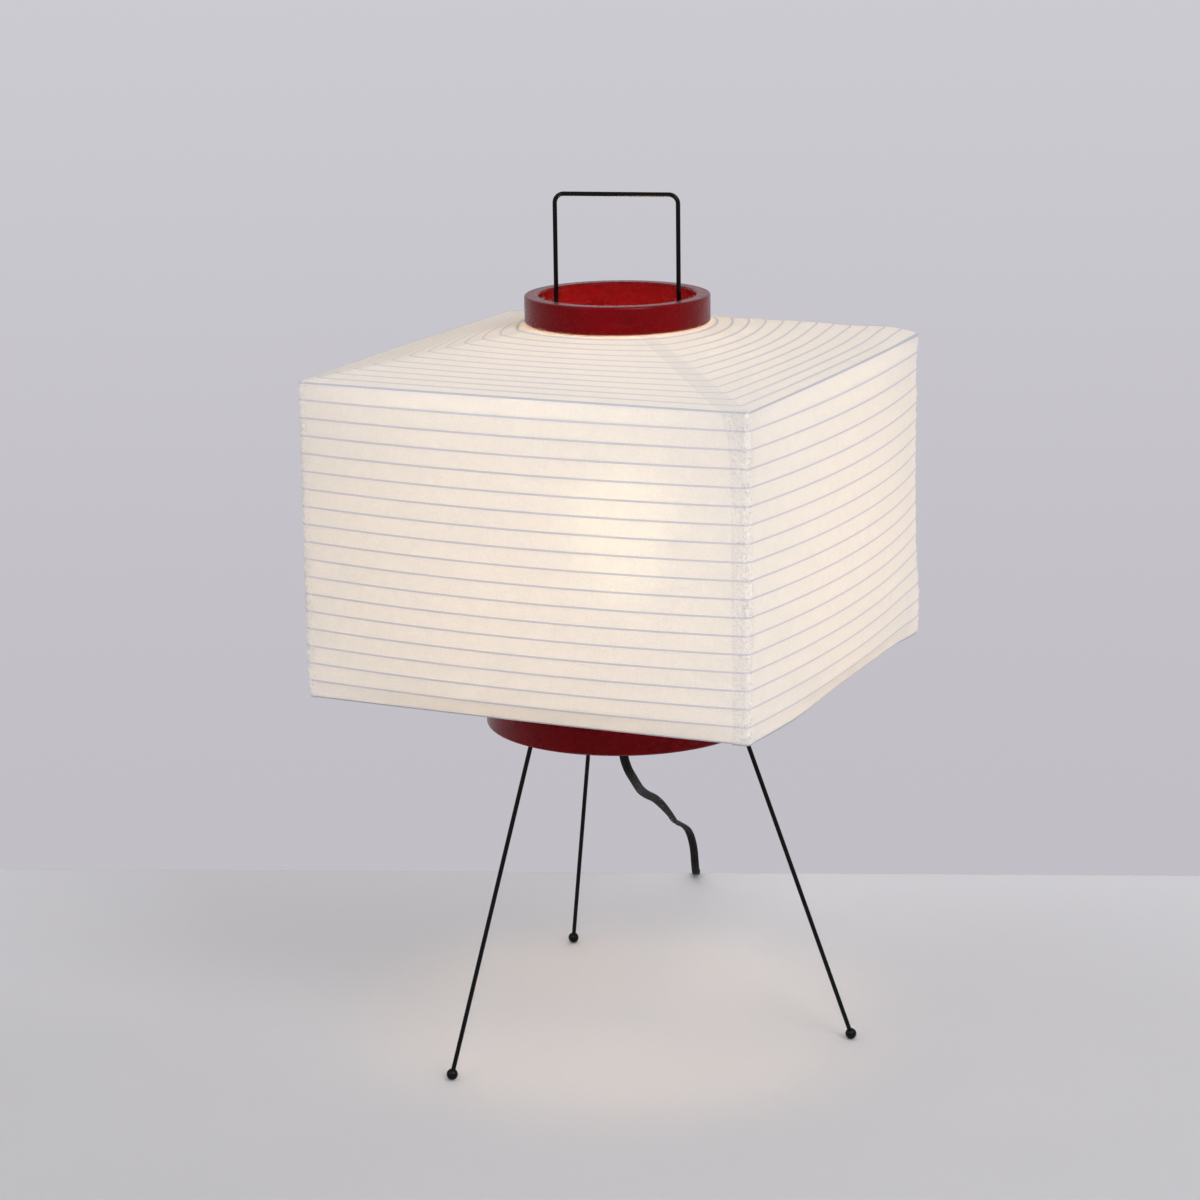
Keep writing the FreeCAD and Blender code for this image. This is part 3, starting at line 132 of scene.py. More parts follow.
class ShaderBench:
    """Bench on which the nodes of one material, or of the world, are laid out."""

    def __init__(self, owner: Owner) -> None:
        """Clear the owner's nodes.

        Args:
            owner: the material or the world.
        """
        owner.use_nodes = True
        self.owner = owner
        self.tree = owner.node_tree
        self.tree.nodes.clear()

    @classmethod
    def material(cls, name: str) -> "ShaderBench":
        """Bench for a new material of that name."""
        return cls(bpy.data.materials.new(name))

    def node(self, kind: str, inputs: Inputs | None = None, **settings: str) -> bpy.types.Node:
        """Add a node, set its properties and feed its inputs.

        Args:
            kind: node type without its ShaderNode prefix.
            inputs: an output socket or a constant for each input, by name or number.
            settings: properties of the node.

        Returns:
            The new node.
        """
        made = self.tree.nodes.new("ShaderNode" + kind)
        for name, value in settings.items():
            setattr(made, name, value)
        for key, value in (inputs or {}).items():
            socket = made.inputs[key]
            if isinstance(value, bpy.types.NodeSocket):
                self.tree.links.new(value, socket)
            elif socket.type == "RGBA":
                socket.default_value = (*value, 1.0)
            else:
                socket.default_value = value
        return made

    def place(self) -> Socket:
        """Object coordinates."""
        return self.node("TexCoord").outputs["Object"]

    def stretched(self, vector: Socket, scale: Stretch) -> Socket:
        """Coordinates scaled apart along the three axes."""
        return self.node("Mapping", {"Vector": vector, "Scale": scale}).outputs["Vector"]

    def attribute(self, name: str) -> Socket:
        """A number kept on the mesh."""
        return self.node("Attribute", attribute_name=name).outputs["Fac"]

    def noise(self, vector: Socket, scale: float, detail: float = 3.0, warp: float = 0.0) -> Socket:
        """Cloudy noise, with its scale in features to a metre and its detail in octaves."""
        inputs = {"Vector": vector, "Scale": scale, "Detail": detail, "Distortion": warp}
        return self.node("TexNoise", inputs).outputs["Fac"]

    def maths(self, operation: str, first: Feed, second: Feed = 0.0) -> Socket:
        """Result of a sum on one or two numbers."""
        return self.node("Math", {0: first, 1: second}, operation=operation).outputs[0]

    def times(self, first: Feed, second: Feed) -> Socket:
        """Product of two numbers."""
        return self.maths("MULTIPLY", first, second)

    def span(self, value: Socket, low: float, high: float, start: float = 0.0, end: float = 1.0) -> Socket:
        """Ease a number into a result that is start at low and end at high."""
        inputs = {"Value": value, "From Min": low, "From Max": high, "To Min": start, "To Max": end}
        return self.node("MapRange", inputs, interpolation_type="SMOOTHSTEP").outputs["Result"]

    def blend(self, share: Feed, first: Feed, second: Feed, mode: str = "MIX") -> Socket:
        """Mix two colours, with share of the second."""
        inputs = {0: share, 6: first, 7: second}
        return self.node("Mix", inputs, data_type="RGBA", blend_type=mode).outputs[2]

    def bump(self, height: Socket, strength: float, depth: float) -> Socket:
        """Normal of a bumpy surface, with the depth of a full bump in metres."""
        inputs = {"Height": height, "Strength": strength, "Distance": depth}
        return self.node("Bump", inputs).outputs["Normal"]

    def shader(self, kind: str, inputs: Inputs) -> Socket:
        """Output of a new shader."""
        return self.node(kind, inputs).outputs[0]

    def mixed(self, share: Feed, first: Socket, second: Socket) -> Socket:
        """Mix two shaders, with share of the second."""
        return self.shader("MixShader", {0: share, 1: first, 2: second})

    def added(self, first: Socket, second: Socket) -> Socket:
        """Sum of two shaders."""
        return self.shader("AddShader", {0: first, 1: second})

    def finish(self, surface: Socket, output: str = "OutputMaterial") -> Owner:
        """Join the surface to an output node and hand the owner over."""
        self.node(output, {"Surface": surface})
        return self.owner


@dataclass(frozen=True)
class LacquerFinish:
    """Satin lacquer rubbed over turned wood."""

    name: str
    colour: Colour
    worn: Colour
    deep: Colour
    sheen: Colour
    shine: float = 0.27
    cloud: Recipe = (38.0, 4.0)
    grain: Recipe = (55.0, 5.0, 0.6)
    grain_run: Stretch = (1.0, 1.0, 4.0)
    grain_worn: Recipe = (0.55, 0.75, 0.0, 0.15)
    grain_height: float = 0.6
    speckle: Recipe = (1500.0, 2.0)
    speckle_worn: Recipe = (0.55, 0.8, 0.0, 0.45)
    turning: float = 90.0
    turning_run: Stretch = (1.0, 1.0, 16.0)
    turning_height: float = 1.5
    rubbed: Recipe = (240.0, 4.0)
    rough: Recipe = (*SWING, 0.22, 0.3)
    bump: Recipe = (0.3, 0.0003)

    def make(self) -> bpy.types.Material:
        """Lay out the finish.

        Returns:
            The material.
        """
        bench = ShaderBench.material(self.name)
        place = bench.place()
        grain = bench.noise(bench.stretched(place, self.grain_run), *self.grain)
        cloud = bench.noise(place, *self.cloud)
        speckle = bench.noise(place, *self.speckle)
        turned = bench.noise(bench.stretched(place, self.turning_run), self.turning)
        colour = bench.blend(bench.span(cloud, *PATCH), self.colour, self.deep)
        colour = bench.blend(bench.span(grain, *self.grain_worn), colour, self.worn)
        colour = bench.blend(bench.span(speckle, *self.speckle_worn), colour, self.worn)
        height = bench.maths("ADD", speckle, bench.times(grain, self.grain_height))
        height = bench.maths("ADD", height, bench.times(turned, self.turning_height))
        surface = bench.shader("BsdfPrincipled", {
            "Base Color": colour,
            "Roughness": bench.span(bench.noise(place, *self.rubbed), *self.rough),
            "Specular IOR Level": self.shine,
            "Specular Tint": self.sheen,
            "Normal": bench.bump(height, *self.bump),
        })
        return bench.finish(surface)


@dataclass(frozen=True)
class CoatedFinish:
    """Wire, plastic or sheath with one colour, faint mottling and a fine surface grain."""

    name: str
    colour: Colour
    mottled: Colour
    rough: Span
    grain: float
    depth: float
    shine: float = 0.4
    mottling: Recipe = (120.0, 4.0)
    rubbed: float = 420.0
    bump: float = 0.4

    def make(self) -> bpy.types.Material:
        """Lay out the finish.

        Returns:
            The material.
        """
        bench = ShaderBench.material(self.name)
        place = bench.place()
        mottling = bench.span(bench.noise(place, *self.mottling), *PATCH)
        surface = bench.shader("BsdfPrincipled", {
            "Base Color": bench.blend(mottling, self.colour, self.mottled),
            "Roughness": bench.span(bench.noise(place, self.rubbed), *SWING, *self.rough),
            "Specular IOR Level": self.shine,
            "Normal": bench.bump(bench.noise(place, self.grain), self.bump, self.depth),
        })
        return bench.finish(surface)


@dataclass(frozen=True)
class HoopFinish:
    """Thin pale hoop that lets some of the bulb's light through."""

    name: str
    colour: Colour
    dark: Colour
    through: Colour
    through_share: float = 0.65
    grain: float = 700.0
    rough: Recipe = (*SWING, 0.5, 0.65)
    shine: float = 0.3
    bump: Recipe = (0.3, 0.0001)

    def make(self) -> bpy.types.Material:
        """Lay out the finish.

        Returns:
            The material.
        """
        bench = ShaderBench.material(self.name)
        grain = bench.noise(bench.place(), self.grain)
        face = bench.shader("BsdfPrincipled", {
            "Base Color": bench.blend(bench.span(grain, *PATCH), self.colour, self.dark),
            "Roughness": bench.span(grain, *self.rough),
            "Specular IOR Level": self.shine,
            "Normal": bench.bump(grain, *self.bump),
        })
        glow = bench.shader("BsdfTranslucent", {"Color": self.through})
        return bench.finish(bench.mixed(self.through_share, face, glow))


@dataclass(frozen=True)
class WovenFinish:
    """Narrow woven strap with ribs along and across it."""

    name: str
    colour: Colour
    worn: Colour
    turn: float
    rib: float = 260.0
    wander: float = 0.4
    rib_worn: Recipe = (0.2, 0.9)
    fuzz: float = 1600.0
    fuzz_height: float = 0.3
    rough: Recipe = (*SWING, 0.7, 0.9)
    shine: float = 0.25
    bump: Recipe = (0.6, 0.0003)

    def make(self) -> bpy.types.Material:
        """Lay out the finish.

        Returns:
            The material.
        """
        bench = ShaderBench.material(self.name)
        place = bench.place()
        turn = (0.0, 0.0, math.radians(self.turn))
        turned = bench.node("Mapping", {"Vector": place, "Rotation": turn}).outputs["Vector"]
        wave = {"Vector": turned, "Scale": self.rib, "Distortion": self.wander}
        ribs = [bench.node("TexWave", wave, bands_direction=way).outputs["Fac"] for way in ("X", "Y")]
        weave = bench.times(*ribs)
        fuzz = bench.noise(place, self.fuzz)
        height = bench.maths("ADD", weave, bench.times(fuzz, self.fuzz_height))
        surface = bench.shader("BsdfPrincipled", {
            "Base Color": bench.blend(bench.span(weave, *self.rib_worn), self.worn, self.colour),
            "Roughness": bench.span(fuzz, *self.rough),
            "Specular IOR Level": self.shine,
            "Normal": bench.bump(height, *self.bump),
        })
        return bench.finish(surface)


@dataclass(frozen=True)
class MetalFinish:
    """Bare or plated metal with fine drawn scratches and dull patches."""

    name: str
    colour: Colour
    dull: Colour
    rough: Span
    patches: Recipe = (160.0, 4.0)
    dulled: Recipe = (0.4, 0.75)
    scratches: float = 900.0
    scratch_run: Stretch = (1.0, 1.0, 9.0)
    bump: Recipe = (0.2, 0.0002)

    def make(self) -> bpy.types.Material:
        """Lay out the finish.

        Returns:
            The material.
        """
        bench = ShaderBench.material(self.name)
        place = bench.place()
        patches = bench.noise(place, *self.patches)
        scratches = bench.noise(bench.stretched(place, self.scratch_run), self.scratches)
        surface = bench.shader("BsdfPrincipled", {
            "Base Color": bench.blend(bench.span(patches, *self.dulled), self.colour, self.dull),
            "Metallic": 1.0,
            "Roughness": bench.span(patches, *SWING, *self.rough),
            "Normal": bench.bump(scratches, *self.bump),
        })
        return bench.finish(surface)


@dataclass(frozen=True)
class OpalFinish:
    """Opal glass of a lit bulb."""

    name: str
    glass: Colour
    glow: Colour
    strength: float
    cloud: float = 60.0
    clouded: Recipe = (*SWING, 0.0, 0.3)
    rough: float = 0.25

    def make(self) -> bpy.types.Material:
        """Lay out the finish.

        Returns:
            The material.
        """
        bench = ShaderBench.material(self.name)
        cloud = bench.span(bench.noise(bench.place(), self.cloud), *self.clouded)
        surface = bench.shader("BsdfPrincipled", {
            "Base Color": bench.blend(cloud, self.glass, self.glow),
            "Roughness": self.rough,
            "Emission Color": self.glow,
            "Emission Strength": self.strength,
        })
        return bench.finish(surface)


@dataclass(frozen=True)
class PaperFinish:
    """Thin fibrous paper over hoops, with the light of the bulb behind it."""

    name: str
    white: Colour
    cloudy: Colour
    # Face colour of the painted shade along the hoops
    hoop: Colour
    through: Colour
    shadow: Colour
    glued: Colour = (0.99, 0.98, 0.98)
    # Face colour of the painted shade along the rim wire
    rim: Colour = (0.70, 0.71, 0.80)
    # Colour of the painted glow on the paper under the upper ring
    collar_glow_colour: Colour = (1.0, 0.52, 0.18)
    haze: Colour = (0.88, 1.0, 1.0)
    haze_share: float = 0.085
    haze_rough: float = 0.55
    haze_index: float = 1.12
    through_share: float = 0.25
    doubled_share: float = 0.17
    # Hoop numbers over which the painted glow under the upper ring fades out, and its strength
    collar_glow: Recipe = (0.6, 0.88, 0.18, 0.0)
    line: Recipe = (0.38, 0.62, 1.0, 0.0)
    line_height: float = 0.12
    cloud: Recipe = (150.0, 4.0, 0.4)
    cloud_share: float = 0.28
    grain: float = 1300.0
    grain_share: float = 0.72
    dense: Recipe = (0.36, 0.66)
    dense_shade: float = 0.24
    dense_height: float = 0.35
    long_hair: Recipe = (70.0, 1.6, 0.016)
    short_hair: Recipe = (52.0, 2.2, 0.012)
    short_run: Stretch = (1.0, 1.0, 2.2)
    hair_cover: float = 0.22
    hair_shade: float = 0.3
    corner: Recipe = (2.5, 6.0, 1.0, 0.0)
    glue: Recipe = (620.0, 4.0, 1.4)
    glue_cover: Recipe = (0.4, 0.6, 0.0, 0.8)
    crease: Recipe = (210.0, 2.4, 0.05)
    crease_cover: float = 0.3
    crinkle: Recipe = (320.0, 5.0, 1.0)
    crinkle_height: Recipe = (1.5, 7.0, 2.4, 0.1)
    rough: float = 0.86
    shine: float = 0.2
    bump: Recipe = (0.5, 0.0009)

    def fibres(self, bench: ShaderBench, place: Socket, scale: float, warp: float, width: float) -> Socket:
        """Hair-thin fibres to a metre, 1 where a warped noise is within a width of its middle."""
        off_middle = bench.maths("SUBTRACT", bench.noise(place, scale, 1.0, warp), 0.5)
        return bench.span(bench.maths("ABSOLUTE", off_middle), 0.0, width, 1.0, 0.0)

    def make(self) -> bpy.types.Material:
        """Lay out the finish.

        Returns:
            The material.
        """
        bench = ShaderBench.material(self.name)
        place = bench.place()
        rib = bench.attribute("rib")
        edge = bench.attribute("edge")

        # Features of the paper
        line = bench.times(bench.maths("PINGPONG", rib, 0.5), bench.attribute("pitch"))
        line = bench.span(line, *self.line)
        cloud = bench.times(bench.noise(place, *self.cloud), self.cloud_share)
        grain = bench.times(bench.noise(place, self.grain), self.grain_share)
        density = bench.maths("ADD", cloud, grain)
        long_hairs = self.fibres(bench, place, *self.long_hair)
        short_hairs = self.fibres(bench, bench.stretched(place, self.short_run), *self.short_hair)
        hairs = bench.maths("MAXIMUM", long_hairs, short_hairs)
        corner = bench.span(edge, *self.corner)
        glue = bench.times(corner, bench.span(bench.noise(place, *self.glue), *self.glue_cover))
        # Painted shade in the creases near the corners
        crease_shade = bench.times(corner, self.fibres(bench, place, *self.crease))
        crease_shade = bench.times(crease_shade, self.crease_cover)
        crinkle = bench.times(bench.span(edge, *self.crinkle_height), bench.noise(place, *self.crinkle))

        # Colour of its face, with painted shade along the hoops and rim wire behind it
        colour = bench.blend(bench.span(density, *self.dense), self.white, self.cloudy)
        colour = bench.blend(bench.times(hairs, self.hair_cover), colour, self.cloudy)
        # Painted shade of the hoops and rim wire, as bluish grey lines in the face colour
        colour = bench.blend(line, colour, bench.blend(bench.attribute("rim"), self.hoop, self.rim))
        colour = bench.blend(glue, colour, self.glued)
        # Painted shade darkens the face in the creases
        colour = bench.blend(crease_shade, colour, self.shadow)

        # Light that comes through it, with painted shadows of the hoops, rim wire and creases
        shade = bench.span(density, *self.dense, end=self.dense_shade)
        light = bench.blend(shade, self.through, self.cloudy, "MULTIPLY")
        light = bench.blend(bench.times(hairs, self.hair_shade), light, self.cloudy, "MULTIPLY")
        doubled = bench.times(bench.attribute("doubled"), self.doubled_share)
        blocked = bench.maths("MAXIMUM", line, bench.maths("MAXIMUM", doubled, crease_shade))
        # Painted shadow of the hoops and creases, and less light through doubled paper
        light = bench.blend(blocked, light, self.shadow)

        # Surface, with a painted glow on the paper just under the upper ring
        height = bench.maths("ADD", bench.times(density, self.dense_height), crinkle)
        height = bench.maths("ADD", height, bench.times(line, self.line_height))
        normal = bench.bump(height, *self.bump)
        face = bench.shader("BsdfPrincipled", {
            "Base Color": colour,
            "Roughness": self.rough,
            "Specular IOR Level": self.shine,
            "Normal": normal,
            # Painted glow: warm emission on the paper next to the upper ring, though the paper is no lamp
            "Emission Color": self.collar_glow_colour,
            "Emission Strength": bench.span(rib, *self.collar_glow),
        })
        glow = bench.shader("BsdfTranslucent", {"Color": light, "Normal": normal})
        blur = {"Color": self.haze, "Roughness": self.haze_rough, "IOR": self.haze_index}
        surface = bench.mixed(self.through_share, face, glow)
        surface = bench.mixed(self.haze_share, surface, bench.shader("BsdfRefraction", blur))
        return bench.finish(surface)


class Slot(Enum):
    """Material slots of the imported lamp."""

    LACQUER = "red_lacquer"
    PAPER = "rice_paper"
    HOOP = "hoop_wire"
    BLACK_WIRE = "black_wire"
    STEEL = "plated_steel"
    BRASS = "brass"
    PLASTIC = "black_plastic"
    INSULATOR = "insulator"
    OPAL = "bulb_glass"
    CAP = "bulb_cap_metal"
    SHEATH = "cord_sheath"
    PINS = "plated_pins"


FINISHES = {
    Slot.LACQUER: LacquerFinish(
        "red_lacquer_finish", colour=(0.15, 0.001, 0.002), worn=(0.23, 0.022, 0.030),
        deep=(0.12, 0.001, 0.0015), sheen=(1.0, 0.24, 0.3)),
    Slot.PAPER: PaperFinish(
        "rice_paper_finish", white=(0.90, 0.877, 0.864), cloudy=(0.84, 0.818, 0.805),
        hoop=(0.845, 0.835, 0.90), through=(0.98, 0.95, 0.90), shadow=(0.24, 0.23, 0.29)),
    Slot.HOOP: HoopFinish(
        "hoop_finish", colour=(0.84, 0.84, 0.87), dark=(0.78, 0.78, 0.81), through=(0.90, 0.90, 0.94)),
    Slot.BLACK_WIRE: CoatedFinish(
        "black_wire_finish", colour=(0.002, 0.002, 0.0025), mottled=(0.003, 0.003, 0.0035),
        rough=(0.15, 0.19), grain=300.0, depth=0.000004, shine=0.13),
    Slot.STEEL: MetalFinish(
        "zinc_finish", colour=(0.62, 0.62, 0.61), dull=(0.45, 0.45, 0.44), rough=(0.28, 0.45)),
    Slot.BRASS: MetalFinish(
        "brass_finish", colour=(0.72, 0.55, 0.25), dull=(0.52, 0.38, 0.17), rough=(0.25, 0.42)),
    Slot.PLASTIC: CoatedFinish(
        "moulded_finish", colour=(0.016, 0.016, 0.016), mottled=(0.023, 0.022, 0.022),
        rough=(0.42, 0.58), grain=1600.0, depth=0.0002),
    Slot.INSULATOR: CoatedFinish(
        "insulator_finish", colour=(0.80, 0.79, 0.75), mottled=(0.72, 0.71, 0.67),
        rough=(0.3, 0.4), grain=700.0, depth=0.0001),
    Slot.OPAL: OpalFinish(
        "opal_finish", glass=(0.95, 0.93, 0.88), glow=(1.0, 0.70, 0.38), strength=28.0),
    Slot.CAP: MetalFinish(
        "bulb_cap_finish", colour=(0.76, 0.76, 0.77), dull=(0.6, 0.6, 0.6), rough=(0.22, 0.36)),
    Slot.SHEATH: CoatedFinish(
        "sheath_finish", colour=(0.009, 0.0085, 0.0085), mottled=(0.013, 0.012, 0.012),
        rough=(0.55, 0.65), grain=400.0, depth=0.00001, shine=0.1),
    Slot.PINS: MetalFinish(
        "pin_finish", colour=(0.80, 0.78, 0.74), dull=(0.66, 0.64, 0.6), rough=(0.16, 0.3)),
}


class Workshop:
    """Makes each finish once and hands it out."""

    def __init__(self) -> None:
        """Make the finishes."""
        self._made = {slot: finish.make() for slot, finish in FINISHES.items()}

    def finish(self, slot: Slot) -> bpy.types.Material:
        """Material of a slot."""
        return self._made[slot]

    def dress_frame(self) -> None:
        """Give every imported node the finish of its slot."""
        for row in frame["record"]["subparts"]:
            dressed = frame["nodes"][row["node"]]
            material = self.finish(Slot(row["material_slot"]))
            for holder in dressed.material_slots:
                holder.material = material
            if not dressed.material_slots:
                dressed.data.materials.append(material)
            log.info("%s dressed in %s", row["node"], material.name)


class Face(Enum):
    """Faces of the shade, by quarter turns from the front."""

    FRONT = 0
    RIGHT = 1
    BACK = 2
    LEFT = 3


class Anchor(Enum):
    """What a column of the paper is measured from."""

    MIDDLE = 0
    CORNER = 1
    FLAP = 2


@dataclass(frozen=True)
class Column:
    """A column of paper: a share of the face, or a distance past one of its corners."""

    anchor: Anchor
    value: float
    side: int = 1
    flapped: bool = False


@dataclass(frozen=True)
class Swell:
    """A place near a corner where the paper stands off its hoops, in hoop numbers and millimetres."""

    face: Face
    side: int
    rib: float
    rib_reach: float
    inwards: float
    reach: float
    height: float


def far_corner_swells(rib: float, rib_reach: float, reach: float, height: float) -> list[Swell]:
    """Swells of the two strips that meet at the far right corner."""
    strips = ((Face.RIGHT, 1), (Face.BACK, -1))
    return [Swell(face, side, rib, rib_reach, 0.0, reach, height) for face, side in strips]


@dataclass
class PaperShade:
    """Four strips of paper over the hoops, each from the upper ring to the lower one, in millimetres."""

    half: float = 130.0
    rim_bow: float = 1.5
    side_bow: float = 13.0
    rim_low: float = 214.0
    pitch: float = 9.7
    upper_edge: float = 47.4
    upper_level: float = 408.95
    lower_edge: float = 72.9
    lower_level: float = 196.05
    top_spaces: int = 13
    side_spaces: int = 18
    bottom_spaces: int = 8
    thick: float = 0.1
    sag: float = 0.1
    corner_round: float = 3.0
    rim_round: float = 1.3
    ring_hold: Span = (0.2, 1.0)
    flap_lift: float = 0.22
    flap_edge: float = 0.02
    flap_over: float = 0.3
    narrow_flap: float = 5.2
    narrow_uneven: float = 0.5
    ring_flap: float = 6.5
    side_flap: float = 9.0
    rim_flap: float = 16.0
    flare_run: float = 1.3
    corner_reach: float = 4.0
    corner_margin: float = 5.0
    least_margin: float = 0.5
    off_corner: float = 20.0
    wave: float = 0.1
    wave_scale: float = 0.06
    crinkle_held: float = 0.2
    crinkle_slack: float = 0.6
    slope_doubled: float = 1.5
    tuck: float = 0.1
    tuck_run: float = 0.025
    side_line: float = 1.0
    slope_line: float = 1.35
    rim_line: float = 1.5
    middle_columns: int = 44
    space_rows: int = 4
    swells: tuple[Swell, ...] = (
        *far_corner_swells(rib=30.0, rib_reach=4.0, reach=26.0, height=2.6),
        *far_corner_swells(rib=11.5, rib_reach=1.7, reach=28.0, height=2.6),
        *far_corner_swells(rib=7.5, rib_reach=3.2, reach=36.0, height=2.0),
        Swell(Face.RIGHT, -1, rib=32.0, rib_reach=1.5, inwards=60.0, reach=45.0, height=3.0),
    )

    # Height, rate and start of each wave of a cut edge, and height and rate of each crinkle
    cut_waves: tuple[Recipe, ...] = ((0.7, 0.8, 3.0), (0.35, 2.3, 9.0))
    crinkles: tuple[Span, ...] = ((1.0, 0.21), (0.6, 0.55))

    # Flat sizes and areas of the strips, in metres
    flat_plain: Span = (0.252, 0.326)
    flat_flapped: Span = (0.296, 0.326)
    area_plain: float = 0.0705
    area_flapped: float = 0.0800

    @property
    def rim_high(self) -> float:
        """Level of the upper rim."""
        return self.rim_low + self.pitch * self.side_spaces

    @property
    def last_rim(self) -> int:
        """Number of the lower rim, counted from the upper ring."""
        return self.top_spaces + self.side_spaces

    @property
    def spaces(self) -> int:
        """Spaces between hoops from ring to ring."""
        return self.last_rim + self.bottom_spaces

    def side_hoop_bow(self, number: int) -> float:
        """Bow of a side hoop, counted from the upper rim."""
        share = 2 * number / self.side_spaces - 1
        return between(self.rim_bow, self.side_bow, math.sqrt(max(0.0, 1 - share * share)))

    def level_of(self, rib: float) -> Point:
        """Outline of the paper at a hoop number counted from the upper ring.

        Args:
            rib: hoop number, with its fraction towards the next.

        Returns:
            Half width, bow and height.
        """
        if rib <= self.top_spaces:
            share = rib / self.top_spaces
            return self.slope_level(self.upper_edge, self.upper_level, self.rim_high, share)
        if rib >= self.last_rim:
            share = (self.spaces - rib) / self.bottom_spaces
            return self.slope_level(self.lower_edge, self.lower_level, self.rim_low, share)
        down = rib - self.top_spaces
        number = min(int(down), self.side_spaces - 1)
        bow = between(self.side_hoop_bow(number), self.side_hoop_bow(number + 1), down - number)
        return self.half, bow, self.rim_high - self.pitch * down

    def slope_level(self, edge: float, ring_level: float, rim_level: float, share: float) -> Point:
        """Outline of a slope at a share of the way from a ring to a rim.

        Args:
            edge: radius of the paper at the ring.
            ring_level: height of the paper at the ring.
            rim_level: height of the rim.
            share: share of the way.

        Returns:
            Half width, bow and height.
        """
        half = between(edge / math.sqrt(2), self.half, share)
        bow = between(edge * (1 - 1 / math.sqrt(2)), self.rim_bow, share)
        return half, bow, between(ring_level, rim_level, share)

    def flap_width(self, rib: float, wide: bool) -> float:
        """Width of a glued flap at a hoop number, uneven as cut by hand.

        Args:
            rib: hoop number.
            wide: whether it is the wide flap of its strip, or the narrow one.

        Returns:
            The width in millimetres.
        """
        uneven = 0.0
        for height, rate, start in self.cut_waves:
            uneven += height * noise.noise(Vector((rib * rate, start, 0.0)))
        if not wide:
            return self.narrow_flap + self.narrow_uneven * uneven
        if rib <= self.top_spaces:
            return between(self.ring_flap, self.rim_flap, rib / self.top_spaces) + uneven
        if rib >= self.last_rim:
            share = (rib - self.last_rim) / self.bottom_spaces
            return between(self.side_flap, self.ring_flap, share) + uneven
        flare = math.exp(-(rib - self.top_spaces) / self.flare_run)
        return between(self.side_flap, self.rim_flap, flare) + uneven

    def on_face(self, half: float, bow: float, run: float) -> Vector:
        """Point of a level's front arc at a run along it from its middle, in plan."""
        reach = (half * half + bow * bow) / (2 * bow)
        return Vector((reach * math.sin(run / reach), reach - half - bow - reach * math.cos(run / reach)))

    def outline(self, half: float, bow: float, past: float) -> Vector:
        """Point of a level's outline at a distance past its front right corner, in plan.

        Args:
            half: half width of the level.
            bow: bow of the level's sides.
            past: distance from the corner, below 0 on the front face.

        Returns:
            The point.
        """
        arc = self.half_arc(half, bow)
        if past <= 0:
            return self.on_face(half, bow, arc + past)
        mirrored = self.on_face(half, bow, arc - past)
        return Vector((-mirrored.y, -mirrored.x))

    def half_arc(self, half: float, bow: float) -> float:
        """Length along a level's front arc from its middle to a corner."""
        return (half * half + bow * bow) / bow * math.atan(bow / half)

    def sheet_point(self, rib: float, column: Column) -> Vector:
        """Point of the front strip's outer side, with its corner rounded.

        Args:
            rib: hoop number.
            column: column of the strip.

        Returns:
            The point in millimetres.
        """
        half, bow, level = self.level_of(rib)
        arc = self.half_arc(half, bow)
        room = self.corner_round
        if column.anchor is Anchor.MIDDLE:
            flat = self.on_face(half, bow, column.value * (arc - self.margin(rib, column)))
            return Vector((flat.x, flat.y, level))
        past = column.value
        if column.anchor is Anchor.FLAP:
            past = between(self.corner_reach, self.flap_width(rib, column.side < 0), column.value)
        if abs(past) < room:
            beside = [self.outline(half, bow, at) for at in (-room, 0.0, room)]
            flat = corner_curve(*beside, (past + room) / (2 * room))
        else:
            flat = self.outline(half, bow, past)
        return Vector((flat.x * column.side, flat.y, level))

    def margin(self, rib: float, column: Column) -> float:
        """How far short of the corner a strip's plain middle ends."""
        under_flap = self.flap_width(rib, column.side > 0) - self.flap_over
        return self.corner_margin if column.flapped else max(self.least_margin, under_flap)

    def rounded_point(self, rib: float, column: Column) -> Vector:
        """Point of the front strip's outer side, rounded over both rims too.

        Args:
            rib: hoop number.
            column: column of the strip.

        Returns:
            The point in millimetres.
        """
        room = self.rim_round / self.pitch
        for rim in (self.top_spaces, self.last_rim):
            if abs(rib - rim) < room:
                beside = [self.sheet_point(at, column) for at in (rim - room, rim, rim + room)]
                return corner_curve(*beside, (rib - rim + room) / (2 * room))
        return self.sheet_point(rib, column)

    def columns(self, flapped: bool) -> list[Column]:
        """Columns of a strip from left to right.

        Args:
            flapped: whether the strip has glued flaps round both its corners.

        Returns:
            The columns.
        """
        count = self.middle_columns
        shares = [2 * k / count - 1 for k in range(count + 1)]
        if not flapped:
            ends = (1 - self.tuck_run, 1 - self.tuck_run / 2)
            shares = sorted(shares + [end * side for end in ends for side in (-1, 1)])
        middle = [Column(Anchor.MIDDLE, share, 1 if share > 0 else -1, flapped) for share in shares]
        if not flapped:
            return middle
        steps = range(round(2 * self.corner_reach))
        half = [Column(Anchor.CORNER, step - self.corner_reach, 1, True) for step in steps]
        half += [Column(Anchor.FLAP, share, 1, True) for share in (0.0, 0.25, 0.5, 0.75, 1.0)]
        left = [Column(column.anchor, column.value, -1, True) for column in reversed(half)]
        return left + middle + half

    def ribs(self) -> list[float]:
        """Hoop numbers of a strip's rows, closer together over the rims.

        Returns:
            The numbers from the upper ring to the lower one.
        """
        rows = [k / self.space_rows for k in range(self.space_rows * self.spaces + 1)]
        near = self.rim_round / self.pitch
        for rim in (self.top_spaces, self.last_rim):
            rows += [rim + near * share for share in (-1.0, -0.5, 0.5, 1.0)]
        return sorted(rows)

